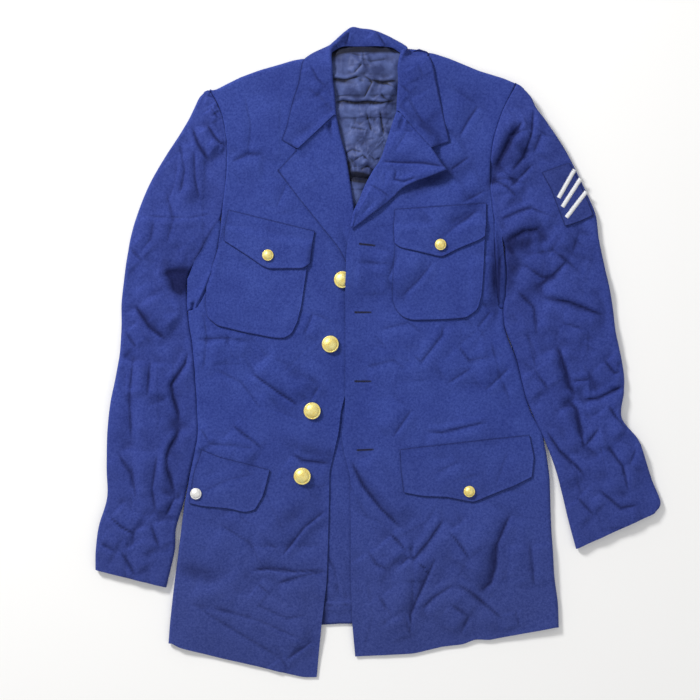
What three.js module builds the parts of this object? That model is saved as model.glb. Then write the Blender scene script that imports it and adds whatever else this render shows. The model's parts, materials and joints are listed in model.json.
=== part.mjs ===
// Service dress jacket, laid flat on its back and left unbuttoned. Millimetres.
// +X is the viewer's right (the wearer's left), +Y runs to the collar, +Z up.
// Every cloth piece is a thin wall: an outer surface of rows and columns and the
// same surface moved in by the cloth's thickness. "left" and "right" in the
// names are the viewer's.
import * as THREE from "three";

// ---- driving dimensions --------------------------------------------------
const CLOTH = 2.0;            // wool with its interlining
const LINING = 1.2;
const PATCH_CLOTH = 1.6;
const GAP = 0.3;              // air left at seams and between layers
const FULL = 3.7;             // air kept under the fronts, away from free edges
const NECK_FULL = 1.6;        // more fullness round the neck
const PAD = 7.0;              // extra height at the shoulder ends
const SLEEVE_HEIGHT = 8.6;    // a lying sleeve, floor to top
const FOLD_REACH = 5.0;       // how far a folded edge rounds in, seen from above
const SEAM_TURN = 2.6;        // radius of a seam edge turned down
const SEAM_DROP = 0.6;
const UNDERLAP_SLEEVE = 22;
const UNDERLAP_SIDE = 36;
const UNDERLAP_SHOULDER = 7;
const ROLL = 3.0;             // roll of lapels and collar
const COLLAR_ROLL = 3.6;      // roll of the collar across the back neck
const LAPEL_FLANGE = 14;
const SEAM_AIR = 0.7;         // air where two curved seams face each other
const HEM_TURN = 0.8;         // relief of the turned-up hem on the back's inside
const HEM_DEPTH = 29;
const FALL_BELOW = 2.4;       // the collar's fall lies under the back neck
const FALL_FROM = 350, FALL_RAMP = 16;
const FOLD_STEP = 8;          // from the side seam's end to where the front folds round
const SIDE_LAP = FOLD_REACH + UNDERLAP_SIDE + 3.2;   // back's side edge to the fold
const LEAST_AIR = 0.2;        // a front never sinks below this, folds included
const SLEEVE_LEAST = 5.5;     // nor a sleeve below this
const JOIN = 6;               // room between two parts of one outline
// Shoulder pads: their middles and how far their fullness reaches.
const PAD_LEFT = [-212, 315], PAD_RIGHT = [188, 312], PAD_REACH = 100;
// Fullness round the neck: from this height up, and this far from its middle.
const NECK_FROM = 215, NECK_RAMP = 90, NECK_MIDDLE = -18, NECK_HALF = 150, NECK_EASE = 60;
// Fronts pass over the back's hem, which is thicker where it is turned up.
const HEM_NEAR = 32, HEM_RAMP = 24, HEM_CLEAR = 50;
// Air under a front fades at its free edge (below the lapels) and at its hem, less so at the sides.
const LAPEL_END = 150, EDGE_FADE = 42, HEM_FADE = 46;
const SIDE_LEFT = -225, SIDE_RIGHT = 190, SIDE_FADE = 30, SIDE_SHARE = 0.8;
// The right front lies over the left one below this height; it bulges over the first button.
const OVERLAP_TOP = 215, OVERLAP_REACH = 19, OVERLAP_AIR = 0.3;
const BULGE_AT = [-44, 96], BULGE_REACH = 40, BULGE_HEIGHT = 7.4;

// ---- tables, millimetres -------------------------------------------------
// Shoulder lines, from the armhole to the neck.
const shoulderLeft = [[-221, 345], [-213, 347], [-200, 354], [-182, 363], [-155, 373],
  [-130, 379], [-110, 384], [-98, 385], [-84, 379]];
const shoulderRight = [[182, 354.5], [175, 358], [165, 362], [134, 371],
  [110, 381], [85, 388], [70, 386], [56, 380]];
// Armhole seams of the fronts, from the shoulder down.
const armholeLeft = [[-221, 345], [-210, 325], [-202, 300], [-199, 265], [-200, 235],
  [-204, 205], [-207, 176]];
const armholeRight = [[182, 354.5], [175, 340], [165, 320], [158, 300], [152, 280],
  [148, 250], [148, 225], [150, 205], [153, 184]];
// Seam from the armhole to the side fold.
const sideSeamLeft = [[-207.5, 168], [-213, 130], [-222, 95], [-238, 60]];
const sideSeamRight = [[154, 172], [155, 130], [157, 95], [160, 62]];
// Side folds, from the armpit to the hem.
const sideFoldLeft = [[-252, 97], [-252.5, 75], [-253, 60], [-250, 35], [-246, 15],
  [-244, -10], [-242, -35], [-240, -60], [-240, -80], [-238, -100], [-239, -115],
  [-245, -140], [-250, -165], [-253, -185], [-256, -200], [-263, -257], [-267, -287],
  [-271, -321], [-275, -357], [-277, -384]];
const sideFoldRight = [[166, 138], [168, 120], [169, 100], [167, 60], [167, 35],
  [172, 18], [180, 0], [186, -20], [191, -40], [196, -60], [202, -78], [210, -92],
  [217, -104], [219, -115], [223, -135], [227, -165], [228, -200], [229, -230],
  [231, -259], [233, -297], [238, -330], [239, -363]];
// Hems of the fronts, from the side fold to the centre edge.
const hemLeft = [[-277, -384], [-262, -390], [-239, -396], [-204, -405], [-167, -413],
  [-131, -422], [-99, -429.5], [-81, -429.5]];
const hemRight = [[239, -363], [210, -368], [177, -374], [147, -380], [129, -379],
  [112, -386], [85, -389], [48, -398], [13, -400], [-30, -402]];
// Neck seams of the fronts, and their free edges below the lapels.
const neckLeft = [[-84, 379], [-80.5, 370], [-80, 358], [-79.5, 345], [-77, 326]];
const edgeLeft = [[-16, 100], [-18, 55], [-25, 11], [-37, -33], [-49, -77],
  [-52, -105], [-61, -144], [-64, -157], [-65, -203], [-66, -248], [-68, -305],
  [-74, -355], [-78, -396], [-81, -429.5]];
const neckRight = [[56, 380], [49, 370], [48.6, 350], [47.5, 335]];
const edgeRight = [[-37, 160], [-41, 140], [-42, 127], [-43, 90], [-43, 40], [-43, -40], [-44, -80], [-48, -112],
  [-44, -135], [-37, -162], [-36, -226], [-36, -294], [-34, -359], [-30, -402]];
// Back panels: hem corners at the folds and the centre.
const backHem = [[-277, -383], [-190, -374], [-110, -364], [-68, -359], [-36, -358.5],
  [60, -359], [150, -361], [239, -362]];
// Sleeves: silhouette (out) and inner edge (in) of each station, and whether
// that edge is sewn to the armhole ("seam") or folded under ("fold").
const sleeveLeft = [
  { out: [-235, 341], in: [-223, 345.5], kind: "seam" },
  { out: [-242, 325], in: [-213.4, 328], kind: "seam" },
  { out: [-250, 307], in: [-205.5, 309], kind: "seam" },
  { out: [-264, 284], in: [-201.2, 285], kind: "seam" },
  { out: [-280, 260], in: [-200, 258], kind: "seam" },
  { out: [-295, 235], in: [-201.6, 228], kind: "seam" },
  { out: [-306, 213], in: [-205.5, 200], kind: "seam" },
  { out: [-317, 185], in: [-212.5, 171.5], kind: "seam" },
  { out: [-326, 155], in: [-227, 147], kind: "seam" },
  { out: [-332, 122], in: [-241.5, 121.5], kind: "seam" },
  { out: [-336, 93], in: [-254.2, 97.5], kind: "fold" },
  { out: [-339, 65], in: [-255, 68], kind: "fold" },
  { out: [-339, 35], in: [-252, 38], kind: "fold" },
  { out: [-341, 0], in: [-247, 5], kind: "fold" },
  { out: [-347, -35], in: [-244, -32], kind: "fold" },
  { out: [-354, -70], in: [-241.6, -70], kind: "fold" },
  { out: [-358, -112], in: [-241, -112], kind: "fold" },
  { out: [-358.5, -155], in: [-250.5, -155], kind: "fold" },
  { out: [-358, -192], in: [-258, -198], kind: "fold" },
  { out: [-369, -230], in: [-268, -232], kind: "fold" },
  { out: [-373, -262], in: [-270, -262], kind: "fold" },
  { out: [-373.5, -287], in: [-281, -310], kind: "fold" },
];
const sleeveRight = [
  { out: [199, 341], in: [183.5, 353.5], kind: "seam" },
  { out: [209, 323], in: [176.5, 340], kind: "seam" },
  { out: [223, 303], in: [166.5, 321], kind: "seam" },
  { out: [239, 280], in: [159, 300], kind: "seam" },
  { out: [252, 259], in: [153, 278], kind: "seam" },
  { out: [266, 231], in: [149.8, 252], kind: "seam" },
  { out: [278, 206], in: [149, 226], kind: "seam" },
  { out: [288, 181], in: [151.5, 200], kind: "seam" },
  { out: [292, 150], in: [155.5, 174], kind: "seam" },
  { out: [300, 112], in: [168.5, 142], kind: "fold" },
  { out: [306, 85], in: [170.5, 108], kind: "fold" },
  { out: [311, 55], in: [169, 72], kind: "fold" },
  { out: [314, 28], in: [168.5, 38], kind: "fold" },
  { out: [320, 0], in: [181.5, 2], kind: "fold" },
  { out: [325, -28], in: [189.5, -30], kind: "fold" },
  { out: [325, -52], in: [197, -58], kind: "fold" },
  { out: [322, -86], in: [210, -90], kind: "fold" },
  { out: [344, -115], in: [222.5, -118], kind: "fold" },
  { out: [353, -140], in: [236, -155], kind: "fold" },
  { out: [362, -168], in: [245, -188], kind: "fold" },
  { out: [373.5, -198], in: [252, -218], kind: "fold" },
  { out: [366, -212], in: [263, -259], kind: "fold" },
];
// Lapels: free edge, roll line, lift of the free edge.
const lapelLeft = [
  { edge: [-132, 240], roll: [-55, 309], lift: 0.4 },
  { edge: [-110, 210], roll: [-49, 284], lift: 0.2 },
  { edge: [-95, 191], roll: [-43, 262], lift: 0 },
  { edge: [-82, 175], roll: [-39, 240], lift: 0 },
  { edge: [-70, 160], roll: [-35, 214], lift: 0 },
  { edge: [-60, 148], roll: [-31.5, 190], lift: 0 },
  { edge: [-50, 134], roll: [-27, 166], lift: 0 },
  { edge: [-43, 120], roll: [-22, 144], lift: 0 },
  { edge: [-34, 109], roll: [-18, 124], lift: 0 },
];
const lapelRight = [
  { edge: [88, 239], roll: [24, 314], lift: 9 },
  { edge: [68, 231], roll: [17, 297], lift: 7 },
  { edge: [50, 225], roll: [10, 275], lift: 4 },
  { edge: [33, 217], roll: [3, 255], lift: 2 },
  { edge: [20, 205], roll: [-8, 238], lift: 0.6 },
  { edge: [8, 194], roll: [-18, 219], lift: 0 },
  { edge: [-6, 184], roll: [-25.5, 201], lift: 0 },
  { edge: [-20, 173], roll: [-32, 187], lift: 0 },
];
// Collar: fall edge, furthest point of the roll, neck seam, turn of the
// section (0 fall on top, 180 fall beneath), and heights of the three.
const collarStations = [
  { fall: [-127, 280], roll: [-55, 313], neck: [-66.5, 309.5], turn: 0, zf: null, zr: null, zn: null },
  { fall: [-120, 300], roll: [-56, 328], neck: [-74, 323], turn: 0, zf: null, zr: null, zn: null },
  { fall: [-113, 330], roll: [-57.5, 345], neck: [-77.4, 345], turn: 0, zf: null, zr: null, zn: null },
  { fall: [-105, 355], roll: [-59.5, 361], neck: [-78.4, 360], turn: 0, zf: null, zr: null, zn: null },
  { fall: [-98, 376], roll: [-60.5, 377], neck: [-77, 372], turn: 8, zf: null, zr: null, zn: null },
  { fall: [-95, 393], roll: [-61.5, 391], neck: [-72, 385], turn: 35, zf: 12.4, zr: 11.5, zn: 8 },
  { fall: [-88, 395], roll: [-61, 402], neck: [-64, 393], turn: 80, zf: 3, zr: 10, zn: 6.5 },
  { fall: [-70, 386], roll: [-51, 415], neck: [-55, 400], turn: 125, zf: 0, zr: 7, zn: 5.2 },
  { fall: [-44, 382], roll: [-36, 429.5], neck: [-44, 404.2], turn: 165, zf: 0, zr: 4.4, zn: 4.5 },
  { fall: [-25, 381], roll: [-22, 428.5], neck: [-30, 404.2], turn: 180, zf: 0, zr: 3.7, zn: 4.4 },
  { fall: [-10, 380], roll: [-9, 427], neck: [-16, 404.2], turn: 180, zf: 0, zr: 3.7, zn: 4.4 },
  { fall: [5, 380], roll: [3, 423], neck: [-3, 404.2], turn: 180, zf: 0, zr: 3.7, zn: 4.4 },
  { fall: [20, 379], roll: [18, 415], neck: [9, 403.8], turn: 168, zf: 0, zr: 4.6, zn: 4.6 },
  { fall: [38, 379], roll: [33, 409], neck: [19, 402], turn: 130, zf: 0, zr: 7.5, zn: 5.4 },
  { fall: [62, 394], roll: [34, 400], neck: [27, 397], turn: 85, zf: 3, zr: 10.5, zn: 7 },
  { fall: [72, 393], roll: [29, 391], neck: [37, 389], turn: 40, zf: 12.4, zr: 12, zn: 8.4 },
  { fall: [73, 378], roll: [26, 377], neck: [45, 376], turn: 8, zf: null, zr: null, zn: null },
  { fall: [76, 358], roll: [26, 361], neck: [46.4, 362], turn: 0, zf: null, zr: null, zn: null },
  { fall: [81, 335], roll: [25.5, 345], neck: [46, 346], turn: 0, zf: null, zr: null, zn: null },
  { fall: [88, 302], roll: [24.5, 330], neck: [43.2, 330], turn: 0, zf: null, zr: null, zn: null },
  { fall: [94, 278], roll: [24, 318], neck: [36.5, 312], turn: 0, zf: null, zr: null, zn: null },
];
const notchLeft = [-106, 268];
const notchRight = [70, 269];
// Patch pockets: left side, right side from the top down, and the bottom.
const pocketLeft = {
  left: [[-204, 166], [-208, 149], [-219, 114], [-226, 92], [-228, 66]],
  right: [[-88, 142], [-90, 128], [-94, 108], [-101, 62], [-106, 42]],
  bottom: [[-228, 66], [-225, 46], [-212, 35], [-175, 26], [-139, 19], [-124, 18], [-114, 24], [-106, 42]],
};
const pocketRight = {
  left: [[22, 166], [22, 135], [19.5, 110], [19, 90], [19, 70]],
  right: [[143, 172], [141, 150], [139.5, 120], [138, 98], [136, 76]],
  bottom: [[19, 70], [24, 55], [33, 46], [45, 42], [87, 43], [116, 45], [131, 56], [136, 76]],
};
// Pocket flaps: top seam, ends, and the pointed lower edge.
const flaps = {
  flap_upper_left: { on: "left", pocket: true,
    top: [[-197, 188], [-140, 174], [-83, 160]],
    left: [[-197, 188], [-202, 165], [-203, 147]], right: [[-83, 160], [-85, 150], [-89, 117]],
    bottom: [[-203, 147], [-175, 129], [-152, 113], [-143, 109.5], [-120, 110], [-99, 110], [-89, 117]] },
  flap_upper_right: { on: "right", pocket: true,
    top: [[22, 189], [85, 193], [143, 197]],
    left: [[22, 189], [20, 165], [21, 144]], right: [[143, 197], [143, 175], [141, 153]],
    bottom: [[21, 144], [28, 138], [55, 132], [84, 125], [105, 136], [132, 147], [141, 153]] },
  flap_lower_left: { on: "left", pocket: false,
    top: [[-232, -128], [-208, -138], [-179, -145], [-142, -155]],
    left: [[-232, -128], [-243, -158], [-249, -199]], right: [[-142, -155], [-151, -189], [-162, -207]],
    bottom: [[-249, -199], [-231, -203], [-197, -206], [-175, -211], [-162, -207]] },
  flap_lower_right: { on: "right", pocket: false,
    top: [[29, -128], [85, -121], [140, -115], [200, -109]],
    left: [[29, -128], [30, -155], [34, -185]], right: [[200, -109], [206, -138], [203, -164]],
    bottom: [[34, -185], [60, -190], [90, -191], [126, -198], [150, -188], [180, -176], [203, -164]] },
};
// Buttons: seat, radius, height of the dome.
const LARGE = { r: 11.4, rim: 2.6, dome: 6.4, shank: 0.6 };
const SMALL = { r: 7.6, rim: 2.0, dome: 4.8, shank: 0.5 };
const buttons = [
  { name: "button_front_1", at: [-47, 96], size: LARGE, on: "front_left" },
  { name: "button_front_2", at: [-63, 11], size: LARGE, on: "front_left" },
  { name: "button_front_3", at: [-87, -77], size: LARGE, on: "front_left" },
  { name: "button_front_4", at: [-100, -163], size: LARGE, on: "front_left" },
  { name: "button_pocket_upper_left", at: [-145, 128], size: SMALL, on: "flap_upper_left" },
  { name: "button_pocket_upper_right", at: [82, 142], size: SMALL, on: "flap_upper_right" },
  { name: "button_pocket_lower_left", at: [-240, -186], size: SMALL, on: "flap_lower_left" },
  { name: "button_pocket_lower_right", at: [120, -183], size: SMALL, on: "flap_lower_right" },
];
// Sleeve patch on the viewer's right sleeve.
const sleevePatch = {
  top: [[216, 237], [232, 243], [252, 250]],
  left: [[216, 237], [228, 215], [236, 193], [246, 166]],
  right: [[252, 250], [266, 222], [277, 198], [284, 181]],
  bottom: [[246, 166], [265, 172], [284, 181]],
};
// Large folds: a path, half width, height (a trough is negative).
const foldsBody = [
  { path: [[-168, -26], [-102, -72]], w: 30, h: -2.4 },
  { path: [[-115, -132], [-61, -146]], w: 22, h: -1.8 },
  { path: [[-129, -271], [-97, -230], [-67, -207]], w: 26, h: -2.4 },
  { path: [[-172, -289], [-120, -290], [-67, -292]], w: 24, h: -2.2 },
  { path: [[-200, -245], [-140, -250]], w: 45, h: 2.4 },
  { path: [[-260, -287], [-210, -308], [-170, -285]], w: 24, h: -1.8 },
  { path: [[133, 327], [106, 283]], w: 26, h: -2.4 },
  { path: [[135, 191], [101, 166], [55, 98], [30, 73]], w: 28, h: -1.8 },
  { path: [[148, 125], [140, 60]], w: 20, h: -1.4 },
  { path: [[-33, -144], [-4, -203], [31, -231]], w: 28, h: -2.6 },
  { path: [[24, -242], [46, -271], [88, -218]], w: 24, h: -2.6 },
  { path: [[77, -262], [42, -345]], w: 24, h: -2.2 },
  { path: [[162, -264], [147, -299], [127, -315]], w: 26, h: -2.6 },
  { path: [[60, -240], [100, -300]], w: 40, h: 2.4 },
  { path: [[185, -250], [190, -320]], w: 36, h: 2.0 },
  { path: [[150, 56], [130, 32]], w: 24, h: -1.6 },
  { path: [[-150, 240], [-120, 120]], w: 110, h: 2.4 },
  { path: [[100, 240], [80, 120]], w: 110, h: 2.4 },
];
const foldsSleeveLeft = [
  { path: [[-293, 113], [-268, 106], [-262, 75]], w: 24, h: -2.6 },
  { path: [[-326, 85], [-300, 35], [-285, 20]], w: 24, h: -2.6 },
  { path: [[-300, 50], [-292, -50], [-300, -200]], w: 32, h: 3.2 },
  { path: [[-245, 295], [-230, 260]], w: 20, h: -2.6 },
  { path: [[-338, -230], [-330, -270]], w: 26, h: 2 },
  { path: [[-270, 190], [-290, 140]], w: 34, h: 2.6 },
];
const foldsSleeveRight = [
  { path: [[183, 300], [168, 275], [162, 250]], w: 20, h: -3.2 },
  { path: [[172, 150], [190, 160], [215, 163]], w: 22, h: -3.4 },
  { path: [[195, 195], [240, 150]], w: 34, h: 3.4 },
  { path: [[220, 95], [250, 125]], w: 26, h: -2 },
  { path: [[215, 70], [260, 60], [296, 48]], w: 22, h: -2.4 },
  { path: [[235, 88], [290, 80]], w: 26, h: 2.6 },
  { path: [[250, 20], [290, 15]], w: 30, h: 2.6 },
  { path: [[236, 10], [252, -45], [264, -57]], w: 22, h: -2.6 },
  { path: [[275, -64], [315, -50]], w: 20, h: -2.4 },
  { path: [[250, -62], [272, -125]], w: 22, h: -2.2 },
  { path: [[230, -105], [262, -150], [275, -165]], w: 22, h: -2.4 },
  { path: [[300, -110], [325, -180]], w: 34, h: 2.8 },
];

// ---- small geometry ------------------------------------------------------
const lerp = (a, b, t) => a + (b - a) * t;
const clamp01 = (t) => Math.min(1, Math.max(0, t));
const smooth = (t) => { const c = clamp01(t); return c * c * (3 - 2 * c); };
const mix = (p, q, t) => p.map((value, axis) => lerp(value, q[axis], t));
const length2 = (p, q) => Math.hypot(q[0] - p[0], q[1] - p[1]);
const vec = (x, y, z) => new THREE.Vector3(x, y, z);

/** Point of a polyline at a fraction of its length. */
function along(path, t) {
  const steps = path.slice(1).map((p, k) => length2(path[k], p));
  let left = clamp01(t) * steps.reduce((sum, s) => sum + s, 0);
  for (let k = 0; k < steps.length; k += 1) {
    if (left <= steps[k] || k === steps.length - 1) return mix(path[k], path[k + 1], Math.min(1, left / steps[k]));
    left -= steps[k];
  }
  return path[path.length - 1];
}

/** A polyline as a count of equal steps. */
const even = (path, count) => Array.from({ length: count + 1 }, (_, k) => along(path, k / count));

/** Distance in plan from a point to a polyline. */
function distance(path, x, y) {
  let best = Infinity;
  for (let k = 1; k < path.length; k += 1) {
    const [ax, ay] = path[k - 1], [bx, by] = path[k];
    const run = (bx - ax) ** 2 + (by - ay) ** 2;
    const t = clamp01(((x - ax) * (bx - ax) + (y - ay) * (by - ay)) / run);
    best = Math.min(best, Math.hypot(x - lerp(ax, bx, t), y - lerp(ay, by, t)));
  }
  return best;
}

const folds = (list, x, y) => list.reduce((sum, fold) => {
  const t = distance(fold.path, x, y) / fold.w;
  return t < 1 ? sum + fold.h * (1 - t * t) ** 2 : sum;
}, 0);

/** A polyline moved sideways in plan; positive is to its left. */
function offset(path, by) {
  return path.map((p, k) => {
    const a = path[Math.max(0, k - 1)], b = path[Math.min(path.length - 1, k + 1)];
    const run = length2(a, b);
    const amount = typeof by === "function" ? by(p) : by;
    return [p[0] - (b[1] - a[1]) / run * amount, p[1] + (b[0] - a[0]) / run * amount];
  });
}

/** x of a side line at height y (tables run down). */
function xAt(path, y) {
  for (let k = 1; k < path.length; k += 1) {
    const [a, b] = [path[k - 1], path[k]];
    if (y >= b[1]) return lerp(b[0], a[0], clamp01((y - b[1]) / (a[1] - b[1])));
  }
  return path[path.length - 1][0];
}

/** y of a hem at x (table runs along x). */
function yAt(path, x) {
  for (let k = 1; k < path.length; k += 1) {
    const [a, b] = [path[k - 1], path[k]];
    if (x <= b[0]) return lerp(a[1], b[1], clamp01((x - a[0]) / (b[0] - a[0])));
  }
  return path[path.length - 1][1];
}

// ---- heights -------------------------------------------------------------
const padAt = (x, y) => {
  const t = Math.min(length2(PAD_LEFT, [x, y]), length2(PAD_RIGHT, [x, y])) / PAD_REACH;
  return t < 1 ? PAD * (1 - t * t) ** 2 : 0;
};
const neckAt = (x, y) => NECK_FULL * smooth((y - NECK_FROM) / NECK_RAMP)
  * smooth((NECK_HALF - Math.abs(x - NECK_MIDDLE)) / NECK_EASE);
/** Level that the back panels lie on: raised over the collar's fall. */
const underAt = (x, y) => FALL_BELOW * smooth((y - FALL_FROM) / FALL_RAMP);
/** Top of whatever lies under the fronts. */
const overHem = (x, y) => smooth((y - yAt(backHem, x) + HEM_NEAR) / HEM_RAMP);
const groundAt = (x, y) => underAt(x, y) + overHem(x, y)
  * (CLOTH + GAP + HEM_TURN * smooth((yAt(backHem, x) + HEM_DEPTH + HEM_CLEAR - y) / HEM_RAMP));
/** Air under a front: little at free edges and hems, more in the middle. */
function fullAt(x, y, centre, hem) {
  const edge = y < LAPEL_END ? smooth(distance(centre, x, y) / EDGE_FADE) : 1;
  const end = smooth(distance(hem, x, y) / HEM_FADE);
  const side = Math.max(smooth((SIDE_LEFT - x) / SIDE_FADE), smooth((x - SIDE_RIGHT) / SIDE_FADE));
  return FULL * Math.max(Math.min(edge, end), side * SIDE_SHARE);
}
function bodyHeight(x, y, centre, hem) {
  const ground = groundAt(x, y);
  const full = fullAt(x, y, centre, hem) + padAt(x, y) + neckAt(x, y) + folds(foldsBody, x, y);
  return ground + CLOTH + Math.max(full, LEAST_AIR);
}
const leftHeight = (x, y) => bodyHeight(x, y, centreLeft, hemLeft);
const rightHeight = (x, y) => bodyHeight(x, y, centreRight, hemRight);
const sleeveHeight = (list) => (x, y) => Math.max(SLEEVE_LEAST, SLEEVE_HEIGHT + padAt(x, y) + folds(list, x, y));

// ---- walls ---------------------------------------------------------------
const normalsOf = (rows) => rows.map((row, i) => row.map((point, j) => {
  const up = rows[Math.max(0, i - 1)][j], down = rows[Math.min(rows.length - 1, i + 1)][j];
  const a = row[Math.max(0, j - 1)], b = row[Math.min(row.length - 1, j + 1)];
  return b.clone().sub(a).cross(up.clone().sub(down)).normalize();
}));

/** Closed wall between an outer surface and an inner one of the same rows. */
function wall(name, outer, inner) {
  const rows = outer.length, cols = outer[0].length, size = rows * cols;
  const points = [...outer.flat(), ...inner.flat()];
  const index = [];
  const quad = (a, b, c, d) => index.push(a, b, c, a, c, d);
  for (let i = 0; i + 1 < rows; i += 1) {
    for (let j = 0; j + 1 < cols; j += 1) {
      const a = i * cols + j, b = a + cols;
      quad(a, b, b + 1, a + 1);
      quad(size + a, size + a + 1, size + b + 1, size + b);
    }
  }
  for (let i = 0; i + 1 < rows; i += 1) {
    const a = i * cols, b = a + cols;
    quad(a, size + a, size + b, b);
    quad(b + cols - 1, size + b + cols - 1, size + a + cols - 1, a + cols - 1);
  }
  for (let j = 0; j + 1 < cols; j += 1) {
    const last = (rows - 1) * cols + j;
    quad(j + 1, size + j + 1, size + j, j);
    quad(last, size + last, size + last + 1, last + 1);
  }
  let volume = 0;
  for (let k = 0; k < index.length; k += 3) {
    const [a, b, c] = [points[index[k]], points[index[k + 1]], points[index[k + 2]]];
    volume += a.dot(b.clone().cross(c));
  }
  if (volume < 0) for (let k = 0; k < index.length; k += 3) [index[k], index[k + 1]] = [index[k + 1], index[k]];
  const geometry = new THREE.BufferGeometry();
  geometry.setAttribute("position", new THREE.Float32BufferAttribute(points.flatMap((p) => [p.x, p.y, p.z]), 3));
  geometry.setIndex(index);
  const mesh = new THREE.Mesh(geometry);
  mesh.name = name;
  return mesh;
}

/** Wall from its outer surface, whose upper half faces up. */
function cloth(name, outer, thickness) {
  const normals = normalsOf(outer);
  const heights = outer.flat().map((p) => p.z);
  const middle = (Math.min(...heights) + Math.max(...heights)) / 2;
  let facing = 0;
  outer.forEach((row, i) => row.forEach((p, j) => { if (p.z > middle) facing += normals[i][j].z; }));
  const sign = Math.sign(facing);
  const inner = outer.map((row, i) => row.map((p, j) => p.clone().addScaledVector(normals[i][j], -thickness * sign)));
  return wall(name, outer, inner);
}

/** Wall whose lower surface lies at given heights (flat pieces). */
function slab(name, plan, under, thickness) {
  const lower = plan.map((row) => row.map((p) => vec(p[0], p[1], under(p[0], p[1]))));
  const upper = lower.map((row) => row.map((p) => vec(p.x, p.y, p.z + thickness(p.x, p.y))));
  return wall(name, upper, lower);
}

/** Grid of plan points between four edges: first and last row, both sides. */
function patch(first, last, sideA, sideB, rows, cols) {
  const grid = [];
  for (let i = 0; i <= rows; i += 1) {
    const v = i / rows, row = [];
    const a = sideA.length === rows + 1 ? sideA[i] : along(sideA, v);
    const b = sideB.length === rows + 1 ? sideB[i] : along(sideB, v);
    for (let j = 0; j <= cols; j += 1) {
      const u = j / cols, p = along(first, u), q = along(last, u);
      row.push([0, 1].map((k) => lerp(p[k], q[k], v) + lerp(a[k], b[k], u)
        - lerp(lerp(first[0][k], first[first.length - 1][k], u), lerp(last[0][k], last[last.length - 1][k], u), v)));
    }
    grid.push(row);
  }
  return grid;
}

/** Height of a surface of rows at a plan point, or null off it. */
function heightOf(rows, x, y) {
  let best = null;
  for (let i = 0; i + 1 < rows.length; i += 1) {
    for (let j = 0; j + 1 < rows[0].length; j += 1) {
      const [a, b, c, d] = [rows[i][j], rows[i + 1][j], rows[i + 1][j + 1], rows[i][j + 1]];
      for (const [p, q, r] of [[a, b, c], [a, c, d]]) {
        const area = (q.x - p.x) * (r.y - p.y) - (r.x - p.x) * (q.y - p.y);
        if (Math.abs(area) < 1e-6) continue;
        const s = ((x - p.x) * (r.y - p.y) - (r.x - p.x) * (y - p.y)) / area;
        const t = ((q.x - p.x) * (y - p.y) - (x - p.x) * (q.y - p.y)) / area;
        if (s < -1e-6 || t < -1e-6 || s + t > 1 + 1e-6) continue;
        const z = p.z + s * (q.z - p.z) + t * (r.z - p.z);
        if (best === null || z > best) best = z;
      }
    }
  }
  return best;
}

/** Highest point of some surfaces within reach of a plan point. */
function topNear(surfaces, x, y, reach) {
  let best = -Infinity;
  const AROUND_POINT = [[0, 0], [1, 0], [-1, 0], [0, 1], [0, -1], [0.7, 0.7], [-0.7, 0.7], [0.7, -0.7], [-0.7, -0.7]];
  for (const [dx, dy] of AROUND_POINT) {
    for (const rows of surfaces) {
      const z = heightOf(rows, x + dx * reach, y + dy * reach);
      if (z !== null && z > best) best = z;
    }
  }
  return best;
}

/** Rounding of an edge: how far out and how far down, for a few columns. */
const TURN_STEPS = 3, QUARTER = Math.PI / 2, HALF = Math.PI;
function turning(reach, depth, angle, tail) {
  // A half turn drawn in few steps still has to touch its full reach.
  const widest = angle === HALF ? Math.sin(HALF / TURN_STEPS) : 1;
  const steps = [];
  for (let k = 1; k <= TURN_STEPS; k += 1) {
    const t = angle * k / TURN_STEPS;
    steps.push([reach * Math.sin(t) / widest, depth * (1 - Math.cos(t))]);
  }
  const [out, down] = steps[steps.length - 1];
  steps.push(angle === HALF ? [out - tail, down] : [out, down + tail]);
  return steps;
}
/** The same for the tube of a roll, as angles. */
const ROLL_ANGLES = [1, 2, 3].map((k) => HALF * k / 3);

// ---- fronts --------------------------------------------------------------
const SEAM_ROWS = 10, FOLD_ROWS = 17, FRONT_COLS = 10;
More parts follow.
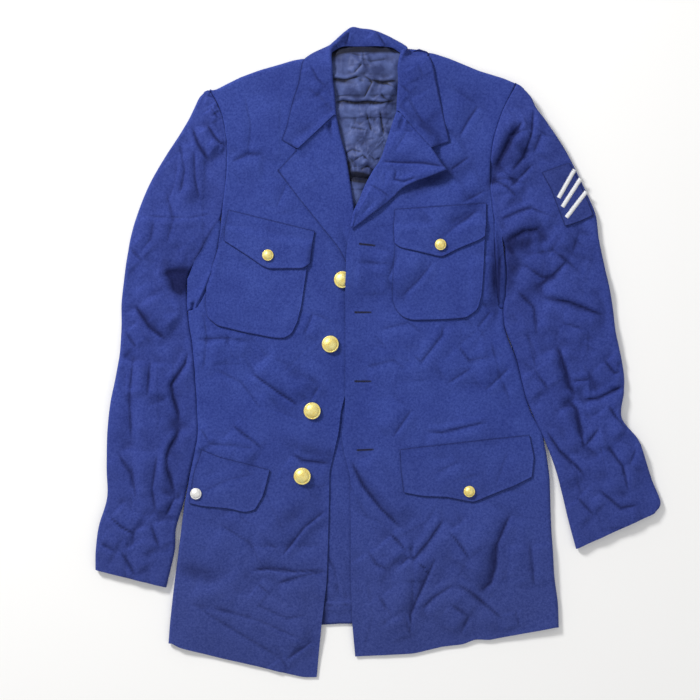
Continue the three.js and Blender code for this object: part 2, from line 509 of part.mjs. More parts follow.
/** A front: shoulder roll on top, seam or fold on the outer side. */
function frontSurface(shoulder, armhole, sideSeam, sideFold, hem, centre, height, hand, lift) {
  const foldTop = sideSeam[sideSeam.length - 1][1] - FOLD_STEP;
  const seamPart = [...armhole, ...sideSeam];
  const foldPart = [[xAt(sideFold, foldTop), foldTop], ...sideFold.filter((p) => p[1] < foldTop - JOIN)];
  const outside = [...even(seamPart, SEAM_ROWS), ...even(foldPart, FOLD_ROWS)];
  const isFold = (y) => y < foldTop + FOLD_STEP / 2;
  const reachAt = (p) => (isFold(p[1]) ? FOLD_REACH : SEAM_TURN);
  const inset = offset(outside, (p) => hand * reachAt(p));
  const roll = offset(shoulder, -hand * FOLD_REACH);
  const firstRow = [[roll[0][0] + hand * SEAM_TURN, roll[0][1]], ...roll.slice(1)];
  inset[0] = firstRow[0];
  const inner = [firstRow[firstRow.length - 1], ...centre.slice(1)];
  const lastRow = [inset[inset.length - 1], ...hem.slice(1)];
  const plan = patch(firstRow, lastRow, inset, even(inner, inset.length - 1), inset.length - 1, FRONT_COLS);
  const top = plan.map((row) => row.map(([x, y]) => vec(x, y, lift(x, y, height(x, y)))));
  // Rows that round the shoulder and lap under it.
  const over = Array.from({ length: TURN_STEPS + 1 }, () => []);
  top[0].forEach((p, j) => {
    const edge = along(shoulder, j / FRONT_COLS);
    const out = vec(edge[0] - p.x, edge[1] - p.y, 0);
    const reach = out.length();
    out.normalize();
    const depth = (p.z - underAt(p.x, p.y)) / 2;
    turning(reach, depth, HALF, UNDERLAP_SHOULDER).forEach(([a, b], k) => {
      over[k].push(vec(p.x + out.x * a, p.y + out.y * a, p.z - b));
    });
  });
  const rows = [...over.reverse(), ...top];
  // Columns that turn the outer side down or round.
  const shift = over.length;
  const normals = normalsOf(rows).map((row) => row.map((n) => n.multiplyScalar(hand)));
  const columns = rows.map((row, i) => {
    const p = row[0], n = normals[i][0].clone(), q = row[1];
    const fold = i >= shift && isFold(p.y);
    const out = p.clone().sub(q);
    if (i >= shift) { out.z = 0; n.set(0, 0, 1); }
    if (i >= shift && fold) out.y = 0;
    out.normalize();
    const steps = fold ? turning(FOLD_REACH, p.z / 2, HALF, UNDERLAP_SIDE)
      : turning(SEAM_TURN, SEAM_TURN, QUARTER, SEAM_DROP);
    return steps.map(([a, b]) => p.clone().addScaledVector(out, a).addScaledVector(n, -b)).reverse();
  });
  return { rows: rows.map((row, i) => [...columns[i], ...row]) };
}

/** Unit direction out of a lapel's roll, at one of its stations. */
function rollOut(table, i, hand) {
  const before = table[Math.max(0, i - 1)].roll, after = table[Math.min(table.length - 1, i + 1)].roll;
  const run = length2(before, after);
  return [-(after[1] - before[1]) / run * hand, (after[0] - before[0]) / run * hand];
}
const FULL_FLANGE = 30, FLANGE_AIR = 0.2;
const narrowing = (s) => Math.min(1, length2(s.edge, s.roll) / FULL_FLANGE);
/** The front's edge along the lapel's flange. */
const insideOf = (table, hand) => table.map((s, i) => {
  const out = rollOut(table, i, hand), reach = LAPEL_FLANGE * narrowing(s) + FLANGE_AIR;
  return [s.roll[0] - out[0] * reach, s.roll[1] - out[1] * reach];
});
const centreLeft = [...neckLeft, ...insideOf(lapelLeft, 1), ...edgeLeft];
const centreRight = [...neckRight, ...insideOf(lapelRight, -1), ...edgeRight];

const plainLift = (x, y, z) => z;
const left = frontSurface(shoulderLeft, armholeLeft, sideSeamLeft, sideFoldLeft, hemLeft, centreLeft, leftHeight, 1, plainLift);

// ---- lapels and collar ---------------------------------------------------
/** Lapel: leaf from the free edge, the roll, and a flange inside it. */
const LAPEL_LEAF = 5, LEAF_REACH = 9, FLANGE_STOP = 1;
const SWELL = 1.4, SWELL_FROM = 0.4;   // a leaf rises by this much towards its roll
function lapelSurface(table, front, height, hand) {
  return table.map((s, i) => {
    const out = rollOut(table, i, hand), narrow = narrowing(s);
    const centre = [s.roll[0] - out[0] * ROLL, s.roll[1] - out[1] * ROLL];
    const row = [];
    for (let j = 0; j <= LAPEL_LEAF; j += 1) {
      const t = j / LAPEL_LEAF, [x, y] = mix(s.edge, centre, t);
      const z = Math.max(topNear([front], x, y, LEAF_REACH) + GAP + CLOTH, height(x, y) + CLOTH + 2 * GAP)
        + SWELL * smooth(t * (1 + SWELL_FROM) - SWELL_FROM) + s.lift * (1 - t) ** 2;
      row.push(vec(x, y, z));
    }
    const last = row[row.length - 1];
    for (const t of ROLL_ANGLES) {
      const ahead = ROLL * Math.sin(t), down = ROLL * (1 - Math.cos(t));
      row.push(vec(last.x + out[0] * ahead, last.y + out[1] * ahead, last.z - down));
    }
    const flange = LAPEL_FLANGE * narrow - ROLL - FLANGE_STOP;
    row.push(vec(last.x - out[0] * flange, last.y - out[1] * flange, last.z - 2 * ROLL));
    return row;
  });
}
const lapelLeftRows = lapelSurface(lapelLeft, left.rows, leftHeight, 1);

// The right front lies on the left one and on its lapel.
const overLeft = (x, y, z) => {
  const beneath = y < OVERLAP_TOP ? topNear([left.rows, lapelLeftRows], x, y, OVERLAP_REACH) : -Infinity;
  return Math.max(z, beneath + GAP + CLOTH + OVERLAP_AIR);
};
const onButton = (x, y) => {
  const t = length2(BULGE_AT, [x, y]) / BULGE_REACH;
  return t < 1 ? BULGE_HEIGHT * (1 - t * t) ** 2 : 0;
};
const right = frontSurface(shoulderRight, armholeRight, sideSeamRight, sideFoldRight, hemRight, centreRight,
  rightHeight, -1, (x, y, z) => overLeft(x, y, z) + onButton(x, y));
const lapelRightRows = lapelSurface(lapelRight, right.rows, rightHeight, -1);

const COLLAR_LEAF = 4;
const FLAT_TURN = 20, FULL_TURN = 120;   // degrees: the fall lies flat below, the roll is full above
const STAND_RISE = 4.6;                  // of the roll over the front, where the fall lies flat
const WRAP_TURN = 60, WRAP_OUT = 12, WRAP_UP = 3, ROLL_LEAD = 10, STAND_HOLLOW = 0.2;
function collarSurface() {
  const fronts = [left.rows, right.rows];
  return collarStations.map((s, i) => {
    const before = collarStations[Math.max(0, i - 1)].roll;
    const after = collarStations[Math.min(collarStations.length - 1, i + 1)].roll;
    const run = length2(before, after);
    const o = vec(-(after[1] - before[1]) / run, (after[0] - before[0]) / run, 0);
    const turn = s.turn * HALF / 180, up = vec(0, 0, 1);
    const ahead = o.clone().multiplyScalar(-Math.cos(turn)).addScaledVector(up, Math.sin(turn));
    const aside = up.clone().multiplyScalar(Math.cos(turn)).addScaledVector(o, Math.sin(turn));
    const radius = lerp(ROLL, COLLAR_ROLL, smooth(s.turn / FULL_TURN));
    const flat = s.turn < FLAT_TURN;
    const bodyTop = (x, y) => (x < 0 ? leftHeight(x, y) : rightHeight(x, y));
    const tip = i === 0 ? notchLeft : i === collarStations.length - 1 ? notchRight : null;
    const centrePlan = [s.roll[0] - ahead.x * radius, s.roll[1] - ahead.y * radius];
    const row = [];
    let centre;
    if (flat) {
      const rollTop = bodyTop(...centrePlan) + STAND_RISE;
      for (let j = 0; j <= COLLAR_LEAF; j += 1) {
        const t = j / COLLAR_LEAF;
        const [x, y] = tip ? along([s.fall, tip, centrePlan], t) : mix(s.fall, centrePlan, t);
        const rest = Math.max(bodyTop(x, y) + CLOTH + 2 * GAP, topNear(fronts, x, y, LEAF_REACH) + CLOTH + GAP);
        row.push(vec(x, y, lerp(rest, Math.max(rest, rollTop), smooth(t))));
      }
      centre = row[row.length - 1].clone().addScaledVector(aside, -radius);
    } else {
      centre = vec(centrePlan[0], centrePlan[1], s.zr);
      const start = vec(s.fall[0], s.fall[1], s.zf);
      const end = centre.clone().addScaledVector(aside, radius);
      const a = start.clone().addScaledVector(...(s.turn > WRAP_TURN ? [o, WRAP_OUT] : [up, WRAP_UP]));
      const b = end.clone().addScaledVector(ahead, -ROLL_LEAD);
      b.z = Math.max(b.z, 0);
      const curve = new THREE.CubicBezierCurve3(start, a, b, end);
      for (let j = 0; j <= COLLAR_LEAF; j += 1) row.push(curve.getPoint(j / COLLAR_LEAF));
    }
    for (const t of ROLL_ANGLES) {
      row.push(centre.clone().addScaledVector(aside, radius * Math.cos(t))
        .addScaledVector(ahead, radius * Math.sin(t)));
    }
    const foot = vec(s.neck[0], s.neck[1], s.zn ?? bodyTop(...s.neck) - CLOTH);
    const fromRoll = row[row.length - 1];
    row.push(fromRoll.clone().lerp(foot, 0.5).addScaledVector(aside, -STAND_HOLLOW), foot);
    return row;
  });
}
const collarRows = collarSurface();

// ---- side panels ---------------------------------------------------------
const SIDE_ROWS = 5, SEAM_SHARE = 0.94, POINT_RISE = 3, ARMPIT_DROP = 2, SIDE_STOP = 4, NARROW_SHARE = 0.6;
function sidePanel(name, seam, sideFold, armpitY, hand, height) {
  const rows = [];
  for (let i = 0; i <= SIDE_ROWS; i += 1) {
    const t = i / SIDE_ROWS;
    const a = along(offset(seam, -hand * SEAM_AIR), SEAM_SHARE * t);
    if (i === 0) a[1] += POINT_RISE;
    const yFold = lerp(armpitY - ARMPIT_DROP, seam[seam.length - 1][1] + SIDE_STOP, t);
    const fold = [xAt(sideFold, yFold), yFold];
    const width = length2(a, fold);
    const out = [(fold[0] - a[0]) / width, (fold[1] - a[1]) / width];
    const reach = Math.min(FOLD_REACH, width * NARROW_SHARE);
    const row = [];
    for (let j = 0; j <= 2; j += 1) {
      const [x, y] = mix(a, [fold[0] - out[0] * reach, fold[1] - out[1] * reach], j / 2);
      row.push(vec(x, y, height(x, y)));
    }
    const last = row[2];
    turning(reach, last.z / 2, HALF, UNDERLAP_SIDE).forEach(([u, b]) => {
      const back = Math.min(0, u);
      row.push(vec(last.x + out[0] * (u - back) - hand * back, last.y + out[1] * (u - back), last.z - b));
    });
    rows.push(row);
  }
  return cloth(name, rows, CLOTH);
}

// ---- sleeves -------------------------------------------------------------
const SLEEVE_COLS = 7, UNDER_COLS = 3;
const OUT_SHARE = 0.35, SEAM_WIDTH_SHARE = 0.2, LAP_SHARE = 0.25;   // of a sleeve's width, at most
function sleeve(table, height) {
  const stations = table.map((s, i) => {
    const seam = s.kind === "seam";
    const width = length2(s.out, s.in);
    const dir = [(s.in[0] - s.out[0]) / width, (s.in[1] - s.out[1]) / width];
    const reachOut = Math.min(FOLD_REACH, width * OUT_SHARE);
    const reachIn = seam ? Math.min(SEAM_TURN, width * SEAM_WIDTH_SHARE) : FOLD_REACH;
    const lap = Math.min(UNDERLAP_SLEEVE, width * LAP_SHARE);
    const inner = [s.in[0] - dir[0] * SEAM_AIR, s.in[1] - dir[1] * SEAM_AIR];
    const a = [s.out[0] + dir[0] * reachOut, s.out[1] + dir[1] * reachOut];
    const b = [inner[0] - dir[0] * reachIn, inner[1] - dir[1] * reachIn];
    const row = [];
    for (let j = 0; j <= SLEEVE_COLS; j += 1) {
      const [x, y] = mix(a, b, j / SLEEVE_COLS);
      row.push(vec(x, y, height(x, y)));
    }
    const first = row[0], last = row[row.length - 1];
    const outer = turning(reachOut, first.z / 2, HALF, lap)
      .map(([u, d]) => vec(first.x - dir[0] * u, first.y - dir[1] * u, first.z - d)).reverse();
    const close = (seam ? turning(reachIn, SEAM_TURN, QUARTER, SEAM_DROP) : turning(reachIn, last.z / 2, HALF, lap))
      .map(([u, d]) => vec(last.x + dir[0] * u, last.y + dir[1] * u, last.z - d));
    const late = !seam || (table[i + 1] && table[i + 1].kind === "fold");
    const from = lap + reachOut + SEAM_AIR, to = late ? lap + FOLD_REACH + SEAM_AIR * 2 : SEAM_AIR;
    const under = [mix(s.out, s.in, from / width), mix(s.out, s.in, 1 - to / width)];
    return { row: [...outer, ...row, ...close], under };
  });
  return { rows: stations.map((s) => s.row), under: stations.map((s) => s.under) };
}
const leftSleeve = sleeve(sleeveLeft, sleeveHeight(foldsSleeveLeft));
const rightSleeve = sleeve(sleeveRight, sleeveHeight(foldsSleeveRight));
const underSleeve = (name, list) => slab(name, list.slice(1).map((ends) => even(ends, UNDER_COLS)),
  () => 0, () => CLOTH);

// ---- back ----------------------------------------------------------------
const CENTRE_X = -20, NECK_Y = 403.4, BACK_COLS = 7, BACK_STEPS = 11;
const CORNER_IN = 1, CORNER_DROP = 6;      // armhole corner of the back, from the shoulder's underlap
const NECK_ROOM = 6, ARMHOLE_ROOM = 4;     // smallest step between the points of its outline
const UNDERARM = 4;                        // more room for the side panel's underlap
const FALL_OUT = 100;                      // the raised part of the neck ends this far from the centre
const HEM_EDGE = 0.3, HEM_RISE = 1.5;      // the turned-up hem's step
/** A back panel as plan rows: shoulder and neck on top, hem at the end. */
function backRows(shoulder, armhole, sideSeam, sideFold, neckPath, hand) {
  const under = offset(shoulder, -hand * (FOLD_REACH + UNDERLAP_SHOULDER + SEAM_AIR * 2));
  const centreX = CENTRE_X - hand * GAP / 2;
  const corner = [armhole[1][0] + hand * (SEAM_AIR + CORNER_IN), under[1][1] - CORNER_DROP];
  const top = [corner, ...under.slice(1).filter((p) => hand * (neckPath[0][0] - p[0]) > NECK_ROOM),
    ...neckPath, [centreX, NECK_Y]];
  // The side: armhole, then inside the underlap of side panel and front.
  const foldTop = sideSeam[sideSeam.length - 1][1] - FOLD_STEP;
  const side = [corner,
    ...armhole.filter((p) => p[1] < corner[1] - ARMHOLE_ROOM).map((p) => [p[0] + hand * SEAM_AIR, p[1]]),
    ...[150, 110, 75, foldTop].map((y) => [xAt(sideFold, y) + hand * (SIDE_LAP + UNDERARM), y]),
    ...sideFold.filter((p) => p[1] < foldTop - JOIN).map((p) => [p[0] + hand * SIDE_LAP, p[1]])];
  const onHem = (x, up) => [x, yAt(backHem, x) + up];
  side[side.length - 1] = onHem(side[side.length - 1][0], 0);
  const sideX = (y) => xAt(side, y);
  // Rows as (side end, centre end): three follow the raised neck, the rest run down to the hem.
  const fall = [FALL_FROM + FALL_RAMP, FALL_FROM + FALL_RAMP / 2, FALL_FROM];
  const ends = fall.map((y, k) => {
    const sideY = corner[1] - CORNER_DROP * (k + 1);
    return [[sideX(sideY), sideY], [CENTRE_X - hand * FALL_OUT, y], [centreX, y]];
  });
  const hemTop = HEM_DEPTH + HEM_RISE;
  const rest = side.filter((p) => p[1] < corner[1] - CORNER_DROP * (fall.length + 1));
  const last = onHem(sideX(yAt(backHem, rest[rest.length - 1][0]) + hemTop), hemTop);
  const down = [ends[ends.length - 1][0], ...rest.slice(0, -1), last];
  for (let k = 1; k < BACK_STEPS; k += 1) {
    ends.push([along(down, k / BACK_STEPS), [centreX, lerp(FALL_FROM, onHem(centreX, hemTop)[1], k / BACK_STEPS)]]);
  }
  // Rows along the hem: above its step, on the step, and the edge.
  const hemRow = (x, up) => Array.from({ length: BACK_COLS + 1 }, (_, k) => onHem(lerp(x, centreX, k / BACK_COLS), up));
  const hemX = (up) => sideX(yAt(backHem, side[side.length - 1][0]) + up);
  return [even(top, BACK_COLS), ...ends.map((path) => even(path, BACK_COLS)),
    hemRow(last[0], hemTop), hemRow(hemX(HEM_DEPTH), HEM_DEPTH), hemRow(hemX(0), 0)];
}
const backThickness = (x, y) => CLOTH + (y < yAt(backHem, x) + HEM_DEPTH + HEM_EDGE ? HEM_TURN : 0);
const backTop = (rows) => rows.map((row) => row.map(([x, y]) => vec(x, y, underAt(x, y) + backThickness(x, y))));
const backLeft = backRows(shoulderLeft, armholeLeft, sideSeamLeft, sideFoldLeft,
  [[-92, 360], [-78, 364], [-66, 382], [-54, 398], [-44, NECK_Y]], 1);
const backRight = backRows(shoulderRight, armholeRight, sideSeamRight, sideFoldRight,
  [[62, 362], [50, 368], [36, 383], [22, 396], [10, 402.6]], -1);

// ---- build ---------------------------------------------------------------
const group = new THREE.Group();
group.name = "service_dress_jacket";
const add = (mesh) => { group.add(mesh); return mesh; };

add(cloth("front_left", left.rows, CLOTH));
add(cloth("front_right", right.rows, CLOTH));
add(cloth("lapel_left", lapelLeftRows, CLOTH));
add(cloth("lapel_right", lapelRightRows, CLOTH));
add(cloth("collar", collarRows, CLOTH));
add(sidePanel("side_panel_left", sideSeamLeft, sideFoldLeft, 97, 1, leftHeight));
add(sidePanel("side_panel_right", sideSeamRight, sideFoldRight, 138, -1, rightHeight));
add(cloth("sleeve_top_left", leftSleeve.rows, CLOTH));
add(cloth("sleeve_top_right", rightSleeve.rows, CLOTH));
add(underSleeve("sleeve_under_left", leftSleeve.under));
add(underSleeve("sleeve_under_right", rightSleeve.under));
add(slab("back_left", backLeft, underAt, backThickness));
add(slab("back_right", backRight, underAt, backThickness));

// ---- lining --------------------------------------------------------------
const liningFolds = [
  { path: [[-62, 366], [-38, 364]], w: 14, h: 3 },
  { path: [[-30, 372], [22, 374]], w: 14, h: 3.2 },
  { path: [[-44, 345], [-10, 342], [22, 348]], w: 15, h: 2.6 },
  { path: [[-50, 312], [-16, 320], [14, 312]], w: 15, h: 3 },
  { path: [[-40, 285], [2, 290]], w: 14, h: 2.6 },
  { path: [[-34, 256], [-4, 262]], w: 13, h: 2.4 },
  { path: [[-30, 210], [-26, 235]], w: 10, h: 1.8 },
];
const liningLeft = [[-50, 400.6], [-62, 386], [-72, 362], [-72, 332], [-66, 305], [-58, 280], [-50, 255],
  [-45, 230], [-41, 200], [-40, 160]];
const liningRight = [[12, 400.6], [32, 386], [40, 366], [40, 340], [37, 318], [30, 295], [22, 272],
  [14, 250], [4, 232], [0, 210], [0, 160]];
const backTops = [backTop(backLeft), backTop(backRight)];
const LINING_ROWS = 22, LINING_COLS = 8, LINING_REACH = 6;
const liningPlan = patch([liningLeft[0], liningRight[0]], [[-40, 160], [0, 160]], liningLeft, liningRight,
  LINING_ROWS, LINING_COLS);
const liningUnder = (x, y) => topNear(backTops, x, y, LINING_REACH) + GAP + folds(liningFolds, x, y);
add(slab("lining", liningPlan, liningUnder, () => LINING));

// ---- pockets, flaps, buttons, patch ---------------------------------------
const surfaces = { left: [left.rows], right: [right.rows] };
const tops = {};
function laid(name, plan, below, thickness, reach) {
  const lower = plan.map((row) => row.map(([x, y]) => vec(x, y, topNear(below, x, y, reach) + GAP)));
  tops[name] = lower.map((row) => row.map((p) => vec(p.x, p.y, p.z + thickness)));
  add(wall(name, tops[name], lower));
}
// Rows, columns, and how far around a point the cloth below is felt for.
const POCKET_GRID = [8, 8, 11], FLAP_GRID = [5, 9, 12], SLEEVE_PATCH_GRID = [6, 4, 9];
for (const [side, table] of [["left", pocketLeft], ["right", pocketRight]]) {
  const [rows, cols, reach] = POCKET_GRID;
  const plan = patch([table.left[0], table.right[0]], table.bottom, table.left, table.right, rows, cols);
  laid("pocket_" + side, plan, surfaces[side], PATCH_CLOTH, reach);
}
for (const [name, table] of Object.entries(flaps)) {
  const [rows, cols, reach] = FLAP_GRID;
  const plan = patch(table.top, table.bottom, table.left, table.right, rows, cols);
  const below = [...surfaces[table.on], ...(table.pocket ? [tops["pocket_" + table.on]] : [])];
  laid(name, plan, below, PATCH_CLOTH, reach);
}
const [patchRows, patchCols, patchReach] = SLEEVE_PATCH_GRID;
laid("sleeve_patch",
  patch(sleevePatch.top, sleevePatch.bottom, sleevePatch.left, sleevePatch.right, patchRows, patchCols),
  [rightSleeve.rows], PATCH_CLOTH, patchReach);

const AROUND = 15;
const SHANK_SHARE = 0.32, BACK_SHARE = 0.9, CROWN_SHARE = 0.45, CROWN_RISE = 0.8;   // of radius, and of the dome
const EDGE_ROUND = 0.7, RIM_IN = 0.9, RIM_WIDTH = 1.9, RIM_STEP = 0.3;
const SEAT_SHARE = 0.9;    // of the radius that is felt for under a button
/** Round button: shank, flat back, raised rim and a domed face. */
function button(name, at, size, seat) {
  const { r, rim, dome, shank } = size;
  const profile = [[r * SHANK_SHARE, 0], [r * SHANK_SHARE, shank], [r * BACK_SHARE, shank], [r, shank + EDGE_ROUND],
    [r, rim], [r - RIM_IN, rim + EDGE_ROUND], [r - RIM_WIDTH, rim + RIM_STEP],
    [r * CROWN_SHARE, lerp(rim, dome, CROWN_RISE)]];
  const points = [vec(at[0], at[1], seat), vec(at[0], at[1], seat + dome)];
  const index = [];
  profile.forEach(([radius, z]) => {
    for (let k = 0; k < AROUND; k += 1) {
      const t = k / AROUND * Math.PI * 2;
      points.push(vec(at[0] + radius * Math.cos(t), at[1] + radius * Math.sin(t), seat + z));
    }
  });
  const on = (ring, k) => 2 + ring * AROUND + k % AROUND;
  for (let k = 0; k < AROUND; k += 1) {
    index.push(0, on(0, k + 1), on(0, k));
    for (let ring = 0; ring + 1 < profile.length; ring += 1) {
      index.push(on(ring, k), on(ring, k + 1), on(ring + 1, k + 1), on(ring, k), on(ring + 1, k + 1), on(ring + 1, k));
    }
    index.push(1, on(profile.length - 1, k), on(profile.length - 1, k + 1));
  }
  const geometry = new THREE.BufferGeometry();
  geometry.setAttribute("position", new THREE.Float32BufferAttribute(points.flatMap((p) => [p.x, p.y, p.z]), 3));
  geometry.setIndex(index);
  const mesh = new THREE.Mesh(geometry);
  mesh.name = name;
  return mesh;
}
for (const b of buttons) {
  const below = b.on === "front_left" ? surfaces.left : [tops[b.on]];
  add(button(b.name, b.at, b.size, topNear(below, b.at[0], b.at[1], b.size.r * SEAT_SHARE) + GAP));
}

export default group;
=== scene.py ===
# %% [markdown]
# ## A uniform jacket laid flat
# A tailored wool jacket is a stack of cut panels: back, fronts, sleeves, then facings turned
# out as lapels, a collar, pockets and flaps. We load the plain solids that fix its size and
# dress each panel with a fine mesh that follows its solid. Loading comes first, so that every
# later measure comes from the same frame.

# %% Load the frame
import bpy
import json
import math
import numpy as np
from mathutils import Matrix, Vector
from mathutils.bvhtree import BVHTree

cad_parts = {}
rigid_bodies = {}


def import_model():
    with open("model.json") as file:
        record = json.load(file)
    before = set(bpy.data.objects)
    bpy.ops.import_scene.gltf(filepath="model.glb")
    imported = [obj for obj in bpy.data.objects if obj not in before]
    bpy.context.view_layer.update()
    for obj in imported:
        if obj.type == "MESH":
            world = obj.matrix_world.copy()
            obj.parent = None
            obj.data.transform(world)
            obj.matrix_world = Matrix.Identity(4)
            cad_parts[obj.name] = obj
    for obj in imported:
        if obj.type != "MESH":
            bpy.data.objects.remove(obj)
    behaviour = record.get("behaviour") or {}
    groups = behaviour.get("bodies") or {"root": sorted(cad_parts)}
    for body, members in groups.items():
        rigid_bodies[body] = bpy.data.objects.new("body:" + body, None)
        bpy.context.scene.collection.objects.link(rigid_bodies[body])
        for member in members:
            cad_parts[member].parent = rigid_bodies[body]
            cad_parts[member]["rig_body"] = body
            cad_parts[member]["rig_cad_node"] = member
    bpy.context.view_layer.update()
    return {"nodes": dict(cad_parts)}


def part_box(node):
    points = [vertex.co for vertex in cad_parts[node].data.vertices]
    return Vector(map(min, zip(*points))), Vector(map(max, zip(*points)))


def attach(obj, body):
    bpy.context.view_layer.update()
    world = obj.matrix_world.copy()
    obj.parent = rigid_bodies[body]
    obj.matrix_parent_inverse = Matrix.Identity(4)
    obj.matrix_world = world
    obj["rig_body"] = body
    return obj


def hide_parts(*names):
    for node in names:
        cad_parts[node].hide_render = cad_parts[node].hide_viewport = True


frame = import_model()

scene = bpy.context.scene
bpy.ops.object.select_all(action="DESELECT")
MM = 0.001

# %% [markdown]
# ## The cut
# A cutter works from a few drafted lines: shoulder, armhole, side, hem and front edge. They are
# in millimetres, in plan, with the collar towards +Y. Each panel below is stretched between
# such lines, so a change of one line moves every piece that is sewn to it.

# %% Sizes of cloth and folds
CLOTH, FACING, LINING_CLOTH, PATCH_CLOTH = 2.0, 2.0, 1.2, 1.6       # thickness of each cloth
FOLD, SEAM = 5.0, 2.6           # how far a folded edge and a sewn edge round over
SEAM_FOOT, LEAST_DROP = 2.6, 0.2        # where a sewn edge ends above the floor, and its least fall
LAP_SLEEVE, LAP_SIDE, LAP_SHOULDER = 22, 36, 7      # cloth that runs on underneath a fold
ROLL, COLLAR_ROLL, FLANGE = 3.0, 3.6, 14        # radii of the rolls, and the strip inside a lapel's
UNDERARM = 1.5                  # how far the side fold starts below the end of the side seam
STEP = 2.2                      # distance between the points of a front

# %% Body lines
CUT = {
    "shoulder": {
        "left": [(-221, 345), (-213, 347), (-200, 354), (-182, 363), (-155, 373), (-130, 380),
                 (-112, 385.5), (-97, 388), (-88, 386), (-82, 379)],
        "right": [(182, 354.5), (175, 358), (165, 362), (134, 371.5), (110, 381.5), (94, 388),
                  (84, 391.3), (74, 394.6), (65, 396.2), (58, 393), (56, 380)]},
    "armhole": {
        "left": [(-221, 345), (-210, 325), (-202, 300), (-199, 265), (-200, 235), (-204, 205),
                 (-207, 176)],
        "right": [(182, 354.5), (175, 340), (165, 320), (158, 300), (152, 280), (148, 250),
                  (148, 225), (150, 205), (153, 184)]},
    "side_seam": {
        "left": [(-207.5, 168), (-213, 130), (-222, 95), (-238, 60)],
        "right": [(154, 172), (155, 130), (157, 95), (160, 62)]},
    "side_fold": {
        "left": [(-252, 97), (-252.5, 75), (-253, 60), (-250, 35), (-246, 15), (-244, -10),
                 (-242, -35), (-240, -60), (-240, -80), (-238, -100), (-239, -115), (-245, -140),
                 (-250, -165), (-253, -185), (-256, -200), (-263, -257), (-267, -287),
                 (-271, -321), (-275, -357), (-277, -384)],
        "right": [(166, 138), (168, 120), (169, 100), (167, 60), (167, 35), (172, 18), (180, 0),
                  (186, -20), (191, -40), (196, -60), (202, -78), (210, -92), (217, -104),
                  (219, -115), (223, -135), (227, -165), (228, -200), (229, -230), (231, -259),
                  (233, -297), (238, -330), (239, -363)]},
    "hem": {
        "left": [(-277, -384), (-262, -390), (-239, -396), (-204, -405), (-167, -413),
                 (-131, -422), (-99, -429.5), (-81, -429.5)],
        "right": [(239, -363), (210, -368), (177, -374), (147, -380), (129, -379), (112, -386),
                  (85, -389), (48, -398), (13, -400), (-30, -402)]},
    "neck": {
        "left": [(-82, 379), (-80.5, 370), (-80, 358), (-79.5, 345), (-77, 326)],
        "right": [(56, 380), (49, 370), (48.6, 350), (47.5, 335)]},
    "edge": {
        "left": [(-16, 100), (-18, 55), (-25, 11), (-37, -33), (-49, -77), (-52, -105),
                 (-61, -144), (-64, -157), (-65, -203), (-66, -248), (-68, -305), (-74, -355),
                 (-78, -396), (-81, -429.5)],
        "right": [(-37, 160), (-41, 140), (-42, 127), (-43, 90), (-43, 40), (-43, -40),
                  (-44, -80), (-48, -112), (-44, -135), (-37, -162), (-36, -226), (-36, -294),
                  (-34, -359), (-30, -402)]},
}
SIDES = {"left": 1, "right": -1}      # +1 where the body lies towards +X of its side seam
print("drafted lines of the body:", sum(len(lines) for lines in CUT.values()))

# %% Lapels, collar and sleeves
LAPEL = {       # (free edge, roll line), from the notch down
    "left": [((-132, 240), (-55, 312.8)), ((-110, 210), (-49, 284)), ((-95, 191), (-43, 262)),
             ((-82, 175), (-39, 240)), ((-70, 160), (-35, 214)), ((-60, 148), (-31.5, 190)),
             ((-50, 134), (-27, 166)), ((-43, 120), (-22, 144)), ((-34, 109), (-18, 124))],
    "right": [((90, 240), (24, 317.8)), ((68, 231), (17, 297)), ((50, 225), (10, 275)),
              ((33, 217), (3, 255)), ((20, 205), (-8, 238)), ((8, 194), (-18, 219)),
              ((-6, 184), (-25.5, 201)), ((-20, 173), (-32, 187)),
              ((-28, 167), (-34.6, 176)), ((-34, 162), (-36.6, 166))],
}
# (fall, roll, neck seam, turn of the section, heights of fall, roll and neck where it stands)
COLLAR = [
    ((-127, 280), (-55, 313), (-66.5, 309.5), 0, None), ((-120, 300), (-56, 328), (-74, 323), 0, None),
    ((-113, 330), (-57.5, 345), (-77.4, 345), 0, None),
    ((-105, 355), (-59.5, 361), (-78.4, 360), 0, None),
    ((-101.5, 374), (-60.5, 377), (-77, 372), 8, None),
    ((-97, 387), (-61.5, 391), (-72, 385), 35, (11, 11.5, 8)),
    ((-84, 391.5), (-61, 402), (-64, 393), 80, (3.5, 10, 6.8)),
    ((-70, 386), (-51, 415), (-55, 400), 125, (0, 7, 6.5)),
    ((-44, 382), (-36, 429.5), (-44, 404.2), 165, (0, 4.4, 6.2)),
    ((-25, 381), (-22, 428.5), (-30, 404.2), 180, (0, 3.7, 6.2)),
    ((-10, 380), (-9, 427), (-16, 404.2), 180, (0, 3.7, 6.2)),
    ((5, 380), (3, 423), (-3, 404.2), 180, (0, 3.7, 6.2)),
    ((24, 384), (18, 416), (9, 403.8), 168, (0, 4.6, 6.3)),
    ((47, 397), (37, 403), (19, 402), 130, (2, 7.5, 6.5)),
    ((60.5, 397), (34, 397), (27, 397), 85, (7, 10.5, 7)),
    ((68, 389), (29, 391), (37, 389), 40, (11.6, 12, 8.4)),
    ((72.5, 376), (26, 377), (45, 376), 8, None), ((76, 358), (26, 361), (46.4, 362), 0, None),
    ((81, 335), (25.5, 345), (46, 346), 0, None), ((88, 302), (24.5, 330), (43.2, 330), 0, None),
    ((94, 278), (24, 318), (36.5, 312), 0, None),
]
NOTCH = {"left": (-106, 268), "right": (70, 269)}
